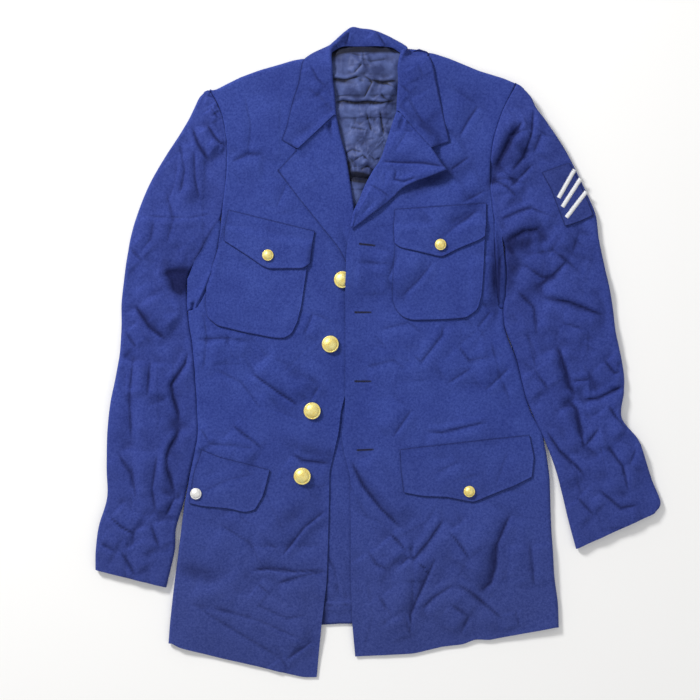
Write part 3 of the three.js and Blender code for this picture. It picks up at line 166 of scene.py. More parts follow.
SLEEVE = {      # (silhouette, inner edge); the first so many stations are sewn to the armhole
    "left": {"sewn": 11, "stations": [
        ((-228.5, 343.4), (-223.2, 344.9)), ((-236, 335.5), (-218, 335.6)), ((-242, 323), (-212.4, 325)),
        ((-250, 307), (-205.5, 309)),
        ((-264, 284), (-201.2, 285)), ((-280, 260), (-200, 258)), ((-295, 235), (-201.6, 228)),
        ((-306, 213), (-204.9, 200)), ((-317, 185), (-211.4, 171.8)), ((-326, 155), (-227, 147)),
        ((-332, 122), (-241.5, 121.5)), ((-336, 93), (-252.8, 97)), ((-339, 65), (-253.6, 68)),
        ((-339, 35), (-251, 38)), ((-341, 0), (-245.9, 5)), ((-347, -35), (-242.9, -32)),
        ((-354, -70), (-240.6, -70)), ((-358, -112), (-239.8, -112)), ((-358.5, -155), (-249.2, -155)),
        ((-358, -192), (-258, -198)), ((-369, -230), (-268, -232)), ((-373, -262), (-270, -262)),
        ((-373.5, -287), (-281, -310))]},
    "right": {"sewn": 10, "stations": [
        ((192, 347.5), (184.4, 352.8)), ((202, 336.5), (180.4, 345.6)), ((209, 322), (175.5, 338)),
        ((223, 303), (166.5, 321)),
        ((239, 280), (159, 300)), ((252, 259), (153, 278)), ((266, 231), (149.8, 252)),
        ((278, 206), (149, 226)), ((288, 181), (151.5, 200)), ((292, 150), (155.5, 174)),
        ((300, 112), (167.2, 142)), ((306, 85), (168.9, 108)), ((311, 55), (168, 72)),
        ((314, 28), (167.6, 38)), ((320, 0), (180.4, 2)), ((325, -28), (188.9, -30)),
        ((325, -52), (196.2, -58)), ((322, -86), (209.3, -90)), ((344, -115), (222.5, -118)),
        ((353, -140), (236, -155)), ((362, -168), (245, -188)), ((373.5, -198), (252, -218)),
        ((366, -212), (263, -259))]},
}
print("sections of the collar:", len(COLLAR), "and of each sleeve:",
      {side: len(sleeve["stations"]) for side, sleeve in SLEEVE.items()})

# %% Pockets, flaps and patch
LAID = {    # pieces sewn flat on others: top, left, right and bottom edges, and what lies below
    "pocket_left": {"below": ["front_left"], "cloth": PATCH_CLOTH,
        "top": [(-204, 166), (-88, 142)],
        "left": [(-204, 166), (-208, 149), (-219, 114), (-226, 92), (-228, 66)],
        "right": [(-88, 142), (-90, 128), (-94, 108), (-101, 62), (-106, 42)],
        "bottom": [(-228, 66), (-225, 46), (-212, 35), (-175, 26), (-139, 19), (-124, 18), (-114, 24),
                   (-106, 42)]},
    "pocket_right": {"below": ["front_right"], "cloth": PATCH_CLOTH,
        "top": [(22, 166), (143, 172)],
        "left": [(22, 166), (22, 135), (19.5, 110), (19, 90), (19, 70)],
        "right": [(143, 172), (141, 150), (139.5, 120), (138, 98), (136, 76)],
        "bottom": [(19, 70), (24, 55), (33, 46), (45, 42), (87, 43), (116, 45), (131, 56), (136, 76)]},
    "flap_upper_left": {"below": ["front_left", "pocket_left"], "cloth": PATCH_CLOTH,
        "top": [(-197, 188), (-140, 174), (-83, 160)],
        "left": [(-197, 188), (-202, 165), (-203, 147)], "right": [(-83, 160), (-85, 150), (-89, 117)],
        "bottom": [(-203, 147), (-175, 129), (-152, 113), (-143, 109.5), (-120, 110), (-99, 110),
                   (-89, 117)]},
    "flap_upper_right": {"below": ["front_right", "pocket_right"], "cloth": PATCH_CLOTH,
        "top": [(22, 189), (85, 193), (143, 197)],
        "left": [(22, 189), (20, 165), (21, 144)], "right": [(143, 197), (143, 175), (141, 153)],
        "bottom": [(21, 144), (28, 138), (55, 132), (84, 125), (105, 136), (132, 147), (141, 153)]},
    "flap_lower_left": {"below": ["front_left"], "cloth": PATCH_CLOTH,
        "top": [(-232, -128), (-208, -138), (-179, -145), (-142, -155)],
        "left": [(-232, -128), (-243, -158), (-249, -199)], "right": [(-142, -155), (-151, -189),
                                                                      (-162, -207)],
        "bottom": [(-249, -199), (-231, -203), (-197, -206), (-175, -211), (-162, -207)]},
    "flap_lower_right": {"below": ["front_right"], "cloth": PATCH_CLOTH,
        "top": [(29, -128), (85, -121), (140, -115), (200, -109)],
        "left": [(29, -128), (30, -155), (34, -185)], "right": [(200, -109), (206, -138), (203, -164)],
        "bottom": [(34, -185), (60, -190), (90, -191), (126, -198), (150, -188), (180, -176),
                   (203, -164)]},
    "sleeve_patch": {"below": ["sleeve_top_right"], "cloth": PATCH_CLOTH,
        "top": [(216, 237), (232, 243), (252, 250)],
        "left": [(216, 237), (228, 215), (236, 193), (246, 166)],
        "right": [(252, 250), (266, 222), (277, 198), (284, 181)],
        "bottom": [(246, 166), (265, 172), (284, 181)]},
}
print("pieces sewn flat on others:", ", ".join(LAID))

# %% Edges of the lining
LINING_EDGES = {
    "left": [(-61, 407), (-69, 388), (-73, 362), (-72, 332), (-66, 305), (-58, 280), (-50, 255),
             (-45, 230), (-41, 200), (-40, 160)],
    "right": [(22, 407), (36, 388), (40, 366), (40, 340), (37, 318), (30, 295), (22, 272),
              (14, 250), (4, 232), (0, 210), (0, 160)]}

# %% [markdown]
# ## Lines and meshes
# Drafted points are joined by an even line whose corners are eased, as a curved ruler does.
# A panel is a grid stretched between four such lines. Its heights are felt from above on the
# plain solid of the frame, then eased, so that the fine cloth lies where the solid lies.

# %% Lines
def spaced(path, fractions):
    """Points of a polyline at fractions of its length."""
    path = np.asarray(path, float)
    run = np.r_[0, np.cumsum(np.linalg.norm(np.diff(path, axis=0), axis=1))]
    at = np.clip(fractions, 0, 1) * run[-1]
    return np.stack([np.interp(at, run, path[:, k]) for k in range(path.shape[1])], 1)

def length(path):
    return float(np.linalg.norm(np.diff(np.asarray(path, float), axis=0), axis=1).sum())

def eased(path, fractions, ease=7.0):
    """The same, with the corners eased over some millimetres."""
    count = max(8, int(length(path)))
    fine = spaced(path, np.linspace(0, 1, count + 1))
    reach = int(3 * ease)
    kernel = np.exp(-0.5 * (np.arange(-reach, reach + 1) / ease) ** 2)
    kernel /= kernel.sum()
    take = np.arange(1, reach + 1)
    head = 2 * fine[0] - fine[np.minimum(take, count)][::-1]
    tail = 2 * fine[-1] - fine[np.maximum(count - take, 0)]
    wide = np.vstack([head, fine, tail])
    soft = np.stack([np.convolve(wide[:, k], kernel, mode="valid") for k in range(fine.shape[1])], 1)
    return spaced(soft, fractions)

def even(count):
    return np.linspace(0, 1, count + 1)

def bordered(span, step, border):
    """Fractions of a span with closer steps at both borders."""
    inside = np.linspace(border[-1], span - border[-1], max(2, int(span / step)))
    edge = np.array(border[:-1])
    return np.r_[edge, inside, span - edge[::-1]] / span

def beside(line, by):
    """A line moved to its left in plan."""
    run = np.gradient(line, axis=0)
    run /= np.linalg.norm(run, axis=1)[:, None]
    return line + np.stack([-run[:, 1], run[:, 0]], 1) * np.reshape(by, (-1, 1))

def across(line, y):
    """x of a line that runs down, at height y."""
    line = np.asarray(line, float)
    return np.interp(-np.asarray(y, float), -line[:, 1], line[:, 0])

# %% Between two values, and between four lines
def lerp(a, b, t):
    return a + (b - a) * t

def step_up(t):
    """Rises smoothly from 0 to 1 while t does."""
    t = np.clip(t, 0, 1)
    return t * t * (3 - 2 * t)

def stretched(first, last, side_a, side_b, u, v):
    """Plan grid between four lines of points; u and v are the fractions across and down."""
    u, v = u[None, :, None], v[:, None, None]
    corners = ((1 - v) * ((1 - u) * first[0] + u * first[-1])
               + v * ((1 - u) * last[0] + u * last[-1]))
    return ((1 - v) * first[None] + v * last[None]
            + (1 - u) * side_a[:, None] + u * side_b[:, None] - corners)

# %% Heights
SKY = 0.2           # metres above the floor, from where heights are felt downwards
trees = {}
def tree_of(name):
    """Search tree of a solid of the frame, or of a piece already made."""
    if name not in trees:
        source = frame["nodes"].get(name) or bpy.data.objects[name]
        mesh = source.data
        trees[name] = BVHTree.FromPolygons([v.co[:] for v in mesh.vertices],
                                           [p.vertices[:] for p in mesh.polygons])
    return trees[name]

def felt(name, x, y):
    """Highest point of a piece above each plan point, in millimetres; nan beside it."""
    tree, down = tree_of(name), Vector((0, 0, -1))
    flat = [tree.ray_cast(Vector((a * MM, b * MM, SKY)), down)[0] for a, b in zip(np.ravel(x), np.ravel(y))]
    return np.array([np.nan if hit is None else hit.z / MM for hit in flat]).reshape(np.shape(x))

def highest(names, x, y):
    """The same over several pieces."""
    top = np.full(np.shape(x), np.nan)
    for name in names:
        top = np.fmax(top, felt(name, x, y))
    return top

def filled(z):
    """Gaps at the rim take the nearest heights."""
    z = z.copy()
    while np.isnan(z).any() and not np.isnan(z).all():
        pad = np.pad(z, 1, constant_values=np.nan)
        around = np.stack([pad[1:-1, :-2], pad[1:-1, 2:], pad[:-2, 1:-1], pad[2:, 1:-1]])
        count = (~np.isnan(around)).sum(0)
        mean = np.nansum(around, 0) / np.maximum(count, 1)
        z = np.where(np.isnan(z) & (count > 0), mean, z)
    return z

def calmed(z, passes):
    """A grid of heights, averaged with its neighbours."""
    for _ in range(passes):
        pad = np.pad(z, ((1, 1), (0, 0)), mode="edge")
        z = (pad[:-2] + 2 * z + pad[2:]) / 4
        pad = np.pad(z, ((0, 0), (1, 1)), mode="edge")
        z = (pad[:, :-2] + 2 * z + pad[:, 2:]) / 4
    return z

def rested(name, plan, passes):
    """Heights of a solid's top on a plan grid, eased."""
    return calmed(filled(felt(name, plan[..., 0], plan[..., 1])), passes)

# %% Turned edges
UP = np.array([0, 0, 1.0])
def turned(reach, depth, angle, tail, steps):
    """Rounding of an edge: how far out and how far down at each step."""
    t = np.linspace(0, angle, steps + 1)[1:]
    out, down = reach * np.sin(t), depth * (1 - np.cos(t))
    back = max(0.0, -math.cos(angle))
    drop = tail if angle < math.pi else 0
    return np.r_[out, out[-1] - tail * back], np.r_[down, down[-1] + drop]

def seam_turn(reach, height, steps):
    """A sewn edge: a quarter turn, then straight down to its foot."""
    return turned(reach, SEAM, math.pi / 2, max(LEAST_DROP, height - SEAM - SEAM_FOOT), steps)

def fold_turn(reach, height, lap, steps):
    """A folded edge: half a turn over its height, then back underneath."""
    return turned(reach, height / 2, math.pi, lap, steps)

# %% [markdown]
# ## Folds that the jacket was laid down with
# Laid cloth breaks into slanting faces that meet in sharp hollows. So a crease is a line with a
# swell on either side of it: the cloth climbs straight out of the line, steeply on the side with
# the short reach, and eases back. A rounded swell alone is the other kind. Both fade at their
# ends. Many small chance creases and a few long weak waves keep the wool from looking ironed.

# %% Fold shapes
STRENGTH, END = 1.7, 0.18       # height of all creases, and the share of their length that fades
SLACK_REACH, TAUT_HEIGHT = 1.5, 0.6     # the slack side of a crease climbs wide, the taut side low
def near_line(path, x, y):
    """Distance to a line, side of it (+1 left) and how far along it, for arrays of points."""
    best, side, at = np.full(x.shape, 1e9), np.zeros(x.shape), np.zeros(x.shape)
    run, total = 0.0, length(path)
    for (ax, ay), (bx, by) in zip(path, path[1:]):
        span = math.hypot(bx - ax, by - ay)
        t = np.clip(((x - ax) * (bx - ax) + (y - ay) * (by - ay)) / span ** 2, 0, 1)
        d = np.hypot(x - lerp(ax, bx, t), y - lerp(ay, by, t))
        turn = np.sign((bx - ax) * (y - ay) - (by - ay) * (x - ax))
        nearer = d < best
        best, side = np.where(nearer, d, best), np.where(nearer, turn, side)
        at = np.where(nearer, (run + t * span) / total, at)
        run += span
    return best, side, at

def fading(at):
    """A crease fades out at both ends."""
    return step_up(at / END) * step_up((1 - at) / END)

def folded(folds, x, y):
    """Summed height of folds: (line, height, reach to its left, reach to its right)."""
    z = np.zeros(x.shape)
    for path, height, left, right in folds:
        pts = np.asarray(path, float)
        far = 3.2 * max(left, right)
        box = ((x > pts[:, 0].min() - far) & (x < pts[:, 0].max() + far)
               & (y > pts[:, 1].min() - far) & (y < pts[:, 1].max() + far))
        if not box.any():
            continue
        d, side, at = near_line(path, x[box], y[box])
        reach = np.where(side > 0, left, right)
        if height > 0:      # a swell
            shape = np.exp(-(d / reach) ** 2)
        else:               # a crease
            slack = reach >= max(left, right)
            t = d / (reach * np.where(slack, SLACK_REACH, 1.0))
            shape = -t * np.exp((1 - t * t) / 2) * np.where(slack, 1.0, TAUT_HEIGHT)
        z[box] += height * STRENGTH * shape * fading(at)
    return z

# %% Hollows
SHALLOW, DEEP = 0.25, 1.8       # a crease this low stays light, one this deep is fully dark
def hollows(folds, x, y, width=1.5):
    """Painted shade along the bottoms of creases, 0 to 1."""
    shade = np.zeros(x.shape)
    for path, height, left, right in folds:
        if height < -SHALLOW:
            d, _, at = near_line(path, x, y)
            line = np.exp(-(d / width) ** 2) * min(1, -height / DEEP)
            shade = np.maximum(shade, line * fading(at))
    return shade

def pits(table, x, y):
    """Round hollows: (x, y, half length, half width, turn in degrees, depth)."""
    z = np.zeros(x.shape)
    for px, py, long, wide, turn, depth in table:
        c, s = math.cos(math.radians(turn)), math.sin(math.radians(turn))
        dx, dy = x - px, y - py
        z += depth * np.exp(-((dx * c + dy * s) / long) ** 2 - ((-dx * s + dy * c) / wide) ** 2)
    return z

# %% Chance creases and waves
BOW, SOFT_SIDE = 0.25, 3.2      # most bend of a crease, and how much wider its soft side is
def chance_creases(seed, count, low, high, size, height, reach, lean=0, spread=180):
    """Creases drawn by chance between two corners of a plan box, lean plus or minus spread."""
    draw = np.random.RandomState(seed)
    made = []
    for _ in range(count):
        x, y = draw.uniform(low[0], high[0]), draw.uniform(low[1], high[1])
        way = math.radians(lean + draw.uniform(-spread, spread))
        run, bend = draw.uniform(*size), draw.uniform(-BOW, BOW)
        dx, dy = math.cos(way) * run / 2, math.sin(way) * run / 2
        sharp, soft = draw.uniform(*reach), draw.uniform(*reach) * SOFT_SIDE
        sides = (sharp, soft) if draw.uniform() < 0.5 else (soft, sharp)
        made.append(([(x - dx, y - dy), (x - dy * bend, y + dx * bend), (x + dx, y + dy)],
                     -draw.uniform(*height)) + sides)
    return made

def waves(x, y, seed, longest, shortest, height, count=16, along=0, stretch=1.0):
    """Gentle uneven waves; along turns them, stretch lengthens them that way."""
    draw = np.random.RandomState(seed)
    z = np.zeros(x.shape)
    if along:
        c, s = math.cos(math.radians(along)), math.sin(math.radians(along))
        x, y = (x * c + y * s) / stretch, -x * s + y * c
    for _ in range(count):
        size, way = draw.uniform(shortest, longest), draw.uniform(0, 2 * math.pi)
        start = draw.uniform(0, 6.3)
        z += np.sin((x * math.cos(way) + y * math.sin(way)) * 2 * math.pi / size + start)
    return z * height / math.sqrt(count / 2)

# %% Folds of the body
FOLDS = {
    "left": [
        ([(-168, -26), (-135, -50), (-102, -72)], -2.2, 12, 5), ([(-165, -12), (-100, -54)], 1.2, 12, 12),
        ([(-77, -43), (-90, -64)], -1.0, 4, 7),
        ([(-86, 52), (-98, 23)], -1.0, 7, 4), ([(-243, 17), (-205, 20), (-165, 15)], -1.2, 5, 9),
        ([(-235, -99), (-220, -122)], -1.2, 5, 8), ([(-193, -95), (-150, -128)], -1.3, 6, 9),
        ([(-115, -132), (-99, -142), (-61, -146)], -1.5, 4, 9), ([(-108, -122), (-62, -134)], 0.8, 8, 8),
        ([(-129, -271), (-97, -230), (-67, -207)], -2.0, 14, 5),
        ([(-118, -246), (-80, -208)], 1.0, 10, 10),
        ([(-172, -287), (-142, -285), (-113, -289), (-67, -287)], -1.9, 9, 5),
        ([(-136, -305), (-103, -295), (-66, -288)], -1.5, 5, 9),
        ([(-245, -331), (-179, -372), (-126, -405)], -1.0, 7, 12),
        ([(-124, -407), (-85, -380)], -1.4, 8, 5),
        ([(-205, 200), (-207, 160), (-213, 130), (-222, 95)], -0.6, 3, 5),
        ([(-159, -305), (-143, -318)], -1.0, 5, 7), ([(-129, -403), (-119, -419)], -0.9, 5, 7),
        ([(-235, -330), (-160, -352), (-100, -378), (-78, -388)], -0.9, 10, 6),
        ([(-233, -120), (-189, -122), (-159, -127)], -1.0, 5, 9),
        ([(-251, -327), (-222, -317), (-172, -290)], 1.3, 11, 11),
        ([(-235, -184), (-200, -168), (-160, -158)], -0.9, 6, 9),
        ([(-195, 250), (-172, 262), (-150, 262)], -1.1, 5, 10),
        ([(-150, 330), (-135, 290), (-128, 250)], 0.9, 14, 14),
        ([(-176, 340), (-168, 300), (-172, 255)], -0.8, 12, 8), ([(-120, 225), (-135, 190)], -0.7, 8, 8),
        ([(-210, -225), (-170, -250), (-150, -285)], -1.0, 10, 14),
        ([(-250, -330), (-190, -345)], -0.9, 12, 8),
        ([(-165, -330), (-120, -350), (-90, -345)], -1.0, 8, 12),
        ([(-218, -20), (-180, -40), (-150, -80)], -0.9, 14, 8),
        ([(-232, 60), (-226, 20), (-232, -30)], -0.9, 8, 6), ([(-200, 20), (-190, -10)], -0.8, 8, 10),
    ],
    "right": [
        ([(121, 259), (94, 240)], -1.3, 6, 9), ([(133, 327), (118, 305), (106, 283)], -1.5, 7, 12),
        ([(143, 215), (108, 196)], -1.3, 5, 8),
        ([(135, 191), (101, 166), (82, 152)], -2.2, 6, 16), ([(143, 180), (100, 146)], 0.9, 9, 9),
        ([(74, 122), (55, 98), (30, 73)], -2.0, 5, 10), ([(80, 116), (60, 90), (38, 66)], 0.7, 8, 8),
        ([(-31, 120), (18, 117)], -1.1, 8, 12), ([(25, 130), (12, 95)], -1.0, 6, 9),
        ([(86, 40), (84, 23), (57, -12), (45, -2)], -1.3, 7, 6), ([(175, -18), (140, -51)], -1.3, 6, 9),
        ([(150, 56), (130, 32)], -1.3, 6, 9), ([(126, -18), (91, -41)], -1.2, 6, 9),
        ([(45, -74), (18, -113)], -1.3, 6, 9), ([(60, -103), (84, -105), (148, -90)], -1.5, 4, 9),
        ([(-38, -139), (-19, -177), (3, -205), (32, -233)], -2.0, 10, 6),
        ([(-20, -140), (8, -178), (38, -220)], 0.9, 9, 9),
        ([(-14, -261), (-2, -279), (14, -287)], -1.3, 5, 8),
        ([(16, -238), (29, -252), (39, -264)], -1.8, 6, 9),
        ([(39, -264), (47, -272), (65, -251), (88, -217)], -2.0, 6, 9),
        ([(45, -271), (37, -272), (29, -281)], -1.2, 5, 7),
        ([(92, -234), (108, -254), (121, -273)], -1.4, 8, 6),
        ([(77, -266), (65, -294), (50, -327), (42, -346), (46, -370)], -1.8, 6, 10),
        ([(55, -341), (72, -323), (100, -305)], -1.3, 5, 8),
        ([(100, -303), (121, -315), (151, -340), (169, -356)], -1.3, 5, 8),
        ([(177, -208), (169, -224), (156, -254), (154, -284), (148, -304), (131, -318)], -2.4, 7, 14),
        ([(45, -272), (46, -305), (44, -340)], -0.9, 5, 8), ([(181, -340), (187, -363)], -1.0, 5, 7),
        ([(121, -346), (108, -373)], -1.0, 5, 7), ([(72, -160), (108, -142)], -1.3, 5, 9),
        ([(95, -170), (138, -158)], -1.0, 5, 8),
        ([(171, -129), (154, -175)], -0.9, 9, 7), ([(194, -215), (182, -260), (172, -300)], 1.0, 12, 14),
        ([(33, -345), (45, -375)], -1.1, 5, 8), ([(161, 130), (159, 95), (160, 60)], -2.0, 5, 12),
        ([(148, 20), (160, -30), (176, -70)], -1.0, 12, 10), ([(200, -250), (205, -310)], -1.2, 9, 9),
        ([(-20, -20), (20, -10), (40, -25)], -0.8, 8, 10),
        ([(105, 10), (120, -10), (150, -5)], -0.9, 6, 9),
        ([(0, -320), (20, -350)], -0.9, 7, 7), ([(95, -330), (120, -350)], -0.9, 7, 7),
        ([(60, 25), (40, 40), (0, 30)], -0.8, 10, 8),
    ],
}

# %% Folds of the sleeves
SLEEVE_FOLDS = {
    "left": [
        ([(-292, 113), (-276, 88), (-258, 52)], 1.5, 7, 9),
        ([(-321, 63), (-301, 33), (-278, 16)], -2.4, 12, 6), ([(-318, 88), (-288, 40)], 1.3, 12, 12),
        ([(-225, 300), (-215, 284), (-204, 272)], -1.6, 4, 6),
        ([(-216, 283), (-208, 276), (-200, 272)], -0.9, 3, 4),
        ([(-214, 330), (-207, 318)], -1.0, 3, 4), ([(-220, 322), (-209, 306)], -1.0, 3, 4),
        ([(-245, 297), (-237, 274), (-222, 251)], -1.6, 6, 5),
        ([(-243, 267), (-241, 228), (-235, 198)], -1.3, 5, 6),
        ([(-262, 278), (-255, 240), (-262, 205)], -1.2, 8, 6),
        ([(-280, 215), (-270, 175), (-280, 140)], -1.1, 12, 8),
        ([(-250, 5), (-255, -15), (-265, -30), (-273, -42), (-270, -60), (-264, -80),
          (-263, -95)], -1.8, 6, 5),
        ([(-263, -95), (-266, -110), (-275, -125), (-279, -138), (-278, -155), (-273, -170),
          (-268, -190)], -1.8, 6, 5),
        ([(-268, -190), (-275, -205), (-280, -215)], -1.3, 5, 5),
        ([(-300, -10), (-304, -60)], -1.6, 9, 9), ([(-322, 0), (-328, -60), (-325, -120)], -1.3, 10, 10),
        ([(-308, 10), (-318, -90), (-310, -180)], 1.2, 16, 16),
        ([(-355, -215), (-338, -230), (-320, -240)], -1.6, 9, 5),
        ([(-340, -260), (-320, -295)], -1.5, 9, 5),
        ([(-300, -225), (-288, -260)], -1.3, 7, 7),
        ([(-345, -130), (-325, -160), (-318, -195)], -1.2, 8, 8),
        ([(-290, -130), (-298, -180), (-292, -215)], -1.3, 8, 8),
        ([(-330, 140), (-310, 120)], -1.0, 8, 8),
        ([(-335, 30), (-318, 5)], -1.1, 7, 7), ([(-295, 180), (-300, 150), (-315, 130)], -0.9, 9, 9),
        ([(-368, -250), (-345, -262)], -1.0, 6, 6),
        ([(-317, 181), (-282, 179), (-248, 178), (-214, 185)], -0.5, 2, 4),
        ([(-228, 339), (-213, 335), (-206, 326)], -0.8, 3, 4),
    ],
    "right": [
        ([(191, 307), (171, 274), (154, 241)], -2.6, 6, 9),
        ([(204, 323), (202, 290), (191, 257), (171, 234)], -2.0, 7, 9),
        ([(205, 250), (188, 232), (170, 215)], -1.5, 6, 8), ([(171, 285), (199, 294)], -1.2, 6, 6),
        ([(153, 229), (181, 229)], -1.2, 5, 6), ([(215, 290), (204, 262)], -1.2, 8, 8),
        ([(167, 145), (190, 160), (215, 163)], -2.6, 6, 9),
        ([(168, 155), (187, 172), (207, 178), (237, 178)], 1.4, 10, 10),
        ([(210, 86), (230, 102), (250, 122)], -1.6, 6, 12),
        ([(190, 118), (215, 100), (240, 98)], -1.1, 9, 7),
        ([(217, 74), (253, 66), (300, 48)], -2.2, 5, 9), ([(212, 84), (262, 76), (298, 62)], 1.2, 9, 9),
        ([(236, 10), (248, -25), (252, -45), (264, -57)], -2.2, 6, 9),
        ([(255, -38), (280, -35)], -1.5, 5, 7),
        ([(270, -63), (290, -60), (325, -43)], -2.0, 5, 7),
        ([(302, -68), (316, -88), (330, -103)], -1.8, 6, 7),
        ([(250, -62), (262, -75), (272, -130)], -2.2, 6, 8), ([(272, -124), (290, -100)], -1.6, 6, 7),
        ([(220, -100), (240, -130), (262, -150), (275, -165)], -2.0, 6, 9),
        ([(298, -10), (312, -27), (320, -25)], -1.4, 6, 6),
        ([(245, 5), (258, -30), (270, -50)], 1.2, 8, 8), ([(282, -80), (300, -130)], 1.2, 12, 12),
        ([(300, -120), (322, -150), (330, -185)], -1.6, 8, 9),
        ([(290, -180), (320, -205), (345, -200)], -1.4, 7, 8),
        ([(180, 85), (205, 60), (210, 20)], -1.3, 10, 10), ([(265, 160), (255, 130)], -1.0, 9, 9),
        ([(262, -190), (285, -215)], -1.2, 7, 7), ([(240, 40), (275, 30)], -1.0, 7, 8),
        ([(150, 228), (170, 218), (184, 204)], -1.6, 4, 6),
        ([(163, 241), (178, 227), (196, 222)], -1.0, 4, 6),
        ([(160, 175), (187, 187), (207, 194)], -1.1, 4, 6),
        ([(183, 186), (203, 190), (234, 177)], -1.0, 4, 6),
        ([(222, 127), (235, 146), (243, 158)], -0.9, 5, 7),
        ([(200, 130), (230, 135), (262, 110)], -1.1, 8, 10), ([(205, -20), (225, -50)], -1.1, 8, 8),
        ([(340, -125), (330, -150)], -1.0, 6, 6),
    ],
}
print("drawn folds:", {side: len(FOLDS[side]) + len(SLEEVE_FOLDS[side]) for side in SIDES})

# %% Chance creases, hollows and shade of each panel
CHANCE = {
    "left": chance_creases(61, 40, (-270, -420), (-70, 200), (35, 110), (0.12, 0.42), (3, 6)),
    "right": chance_creases(62, 48, (-30, -390), (230, 220), (35, 110), (0.12, 0.42), (3, 6)),
    "sleeve left": chance_creases(63, 34, (-370, -290), (-215, 300), (30, 90), (0.2, 0.6),
                                  (3, 6), 75, 45),
    "sleeve right": chance_creases(64, 38, (165, -250), (370, 300), (30, 90), (0.2, 0.6),
                                   (3, 6), -55, 50),
}
PITS = {        # round hollows: x, y, half length, half width, turn in degrees, depth
    "left": [(-240, -290, 32, 13, -15, -1.8), (-118, -215, 40, 14, 38, -1.6), (-190, 262, 30, 9, 5, -1.2),
             (-170, 118, 22, 10, -35, -1.6), (-92, -40, 40, 14, -35, -1.5)],
    "right": [(157, 108, 45, 8, 88, -3.0), (108, 172, 34, 12, 35, -2.2), (160, 262, 40, 10, 80, -1.4),
              (150, -282, 60, 14, 70, -2.4), (52, 92, 34, 12, 42, -1.8)],
    "sleeve left": [(-262, 92, 16, 11, 50, -6.0), (-276, 104, 14, 6, 10, -2.5),
                    (-232, 262, 26, 9, -60, -1.0), (-265, -60, 70, 9, 85, -2.6),
                    (-272, -150, 50, 9, 80, -2.4), (-302, 42, 34, 10, -45, -2.0)],
    "sleeve right": [(182, 112, 28, 11, 70, -3.0), (170, 270, 40, 8, 66, -3.6),
                     (190, 250, 36, 8, 60, -2.6), (192, 142, 30, 9, 20, -3.4),
                     (215, 95, 44, 13, 50, -3.2), (262, -90, 44, 9, -62, -2.6),
                     (250, -30, 30, 9, -62, -2.4)],
}
SHADES = {      # the same, where the cloth lies deeper in shade than its height gives
    "left": [(-206, 120, 50, 5, 72, 0.15), (-88, -129, 36, 10, -18, 0.42), (-112, -216, 36, 12, 40, 0.2),
             (-200, -226, 34, 9, -12, 0.25), (-236, -290, 30, 12, -15, 0.15),
             (-228, 145, 34, 2.6, 60, 0.6)],
    "right": [(157, 100, 48, 10, 86, 0.5), (122, 330, 60, 36, -15, 0.17), (110, 262, 36, 22, 0, 0.1),
              (150, 235, 30, 7, 80, 0.2), (72, 227, 42, 9, 24, 0.75), (148, 226, 12, 5, 70, 0.45),
              (-5, -186, 46, 8, -47, 0.25)],
    "sleeve left": [(-264, 94, 26, 12, -55, 0.95), (-258, 106, 13, 8, 50, 0.7),
                    (-222, 300, 14, 8, -60, 0.2), (-229, 145, 34, 2.6, 60, 0.7)],
    "sleeve right": [(173, 110, 40, 9, 84, 0.55), (188, 148, 26, 8, 15, 0.4),
                     (174, 265, 40, 10, 66, 0.25),
                     (153, 226, 9, 5, 20, 0.45), (172, 151, 13, 9, 40, 0.45)],
}
print("chance creases:", {name: len(made) for name, made in CHANCE.items()})

# %% Folds and shade of a whole panel
def body_shade(side, x, y):
    """How deep in shade the cloth of a front lies, by its creases and hollows."""
    return (0.5 * hollows(FOLDS[side] + CHANCE[side], x, y) - 0.12 * pits(PITS[side], x, y)
            + pits(SHADES[side], x, y))

def sleeve_shade(side, x, y):
    name = "sleeve " + side
    return (0.55 * hollows(SLEEVE_FOLDS[side] + CHANCE[name], x, y) - 0.1 * pits(PITS[name], x, y)
            + pits(SHADES[name], x, y))

def body_folds(side, x, y):
    """Height that the laid cloth of one front, and all that is sewn on it, adds to its solid."""
    seed = {"left": 4, "right": 9}[side]
    calm = 0.35 + 0.65 * step_up((300 - y) / 260)       # the padded chest lies calmer
    soft = waves(x, y, seed, 150, 55, 0.35) + waves(x, y, seed + 1, 42, 18, 0.09)
    return folded(FOLDS[side], x, y) + pits(PITS[side], x, y) + calm * (soft + folded(CHANCE[side], x, y))

def sleeve_folds(side, x, y):
    """The same for a sleeve, whose waves run along it."""
    seed, lean = {"left": (14, 80), "right": (19, -65)}[side]
    soft = waves(x, y, seed, 70, 26, 0.42, along=lean, stretch=2.2) + waves(x, y, seed + 1, 30, 14, 0.1)
    drawn = folded(SLEEVE_FOLDS[side] + CHANCE["sleeve " + side], x, y)
    return 1.25 * drawn + pits(PITS["sleeve " + side], x, y) + soft

# %% [markdown]
# ## From a grid to a cloth panel
# One panel is one grid primitive whose points are laid on the drafted surface, with a UV map
# in metres so that the weave keeps its size. Solidify then gives the cloth its thickness
# towards the inside, which leaves the drafted face as the right side of the wool.

# %% What a mesh needs
CRISP = math.radians(48)        # cloth that turns more sharply than this shows an edge
HOLLOW_SHADE, DEEPEST = 0.4, 1.2        # shade for each millimetre of depth, and where it stops
def facing_up(surface):
    """Tells whether the upper part of a grid faces up."""
    down, right = np.gradient(surface, axis=0), np.gradient(surface, axis=1)
    normal = np.cross(right, down)
    z = surface[..., 2]
    high = z > (z.min() + z.max()) / 2
    return normal[..., 2][high].sum() >= 0

def cloth_uv(surface):
    """Lengths along the rows and columns of a grid, in metres."""
    across_run = np.cumsum(np.linalg.norm(np.diff(surface, axis=1, prepend=surface[:, :1]), axis=2), axis=1)
    down_run = np.cumsum(np.linalg.norm(np.diff(surface, axis=0, prepend=surface[:1]), axis=2), axis=0)
    return np.stack([across_run - across_run[:, [across_run.shape[1] // 2]],
                     down_run - down_run[[down_run.shape[0] // 2]]], 2) * MM

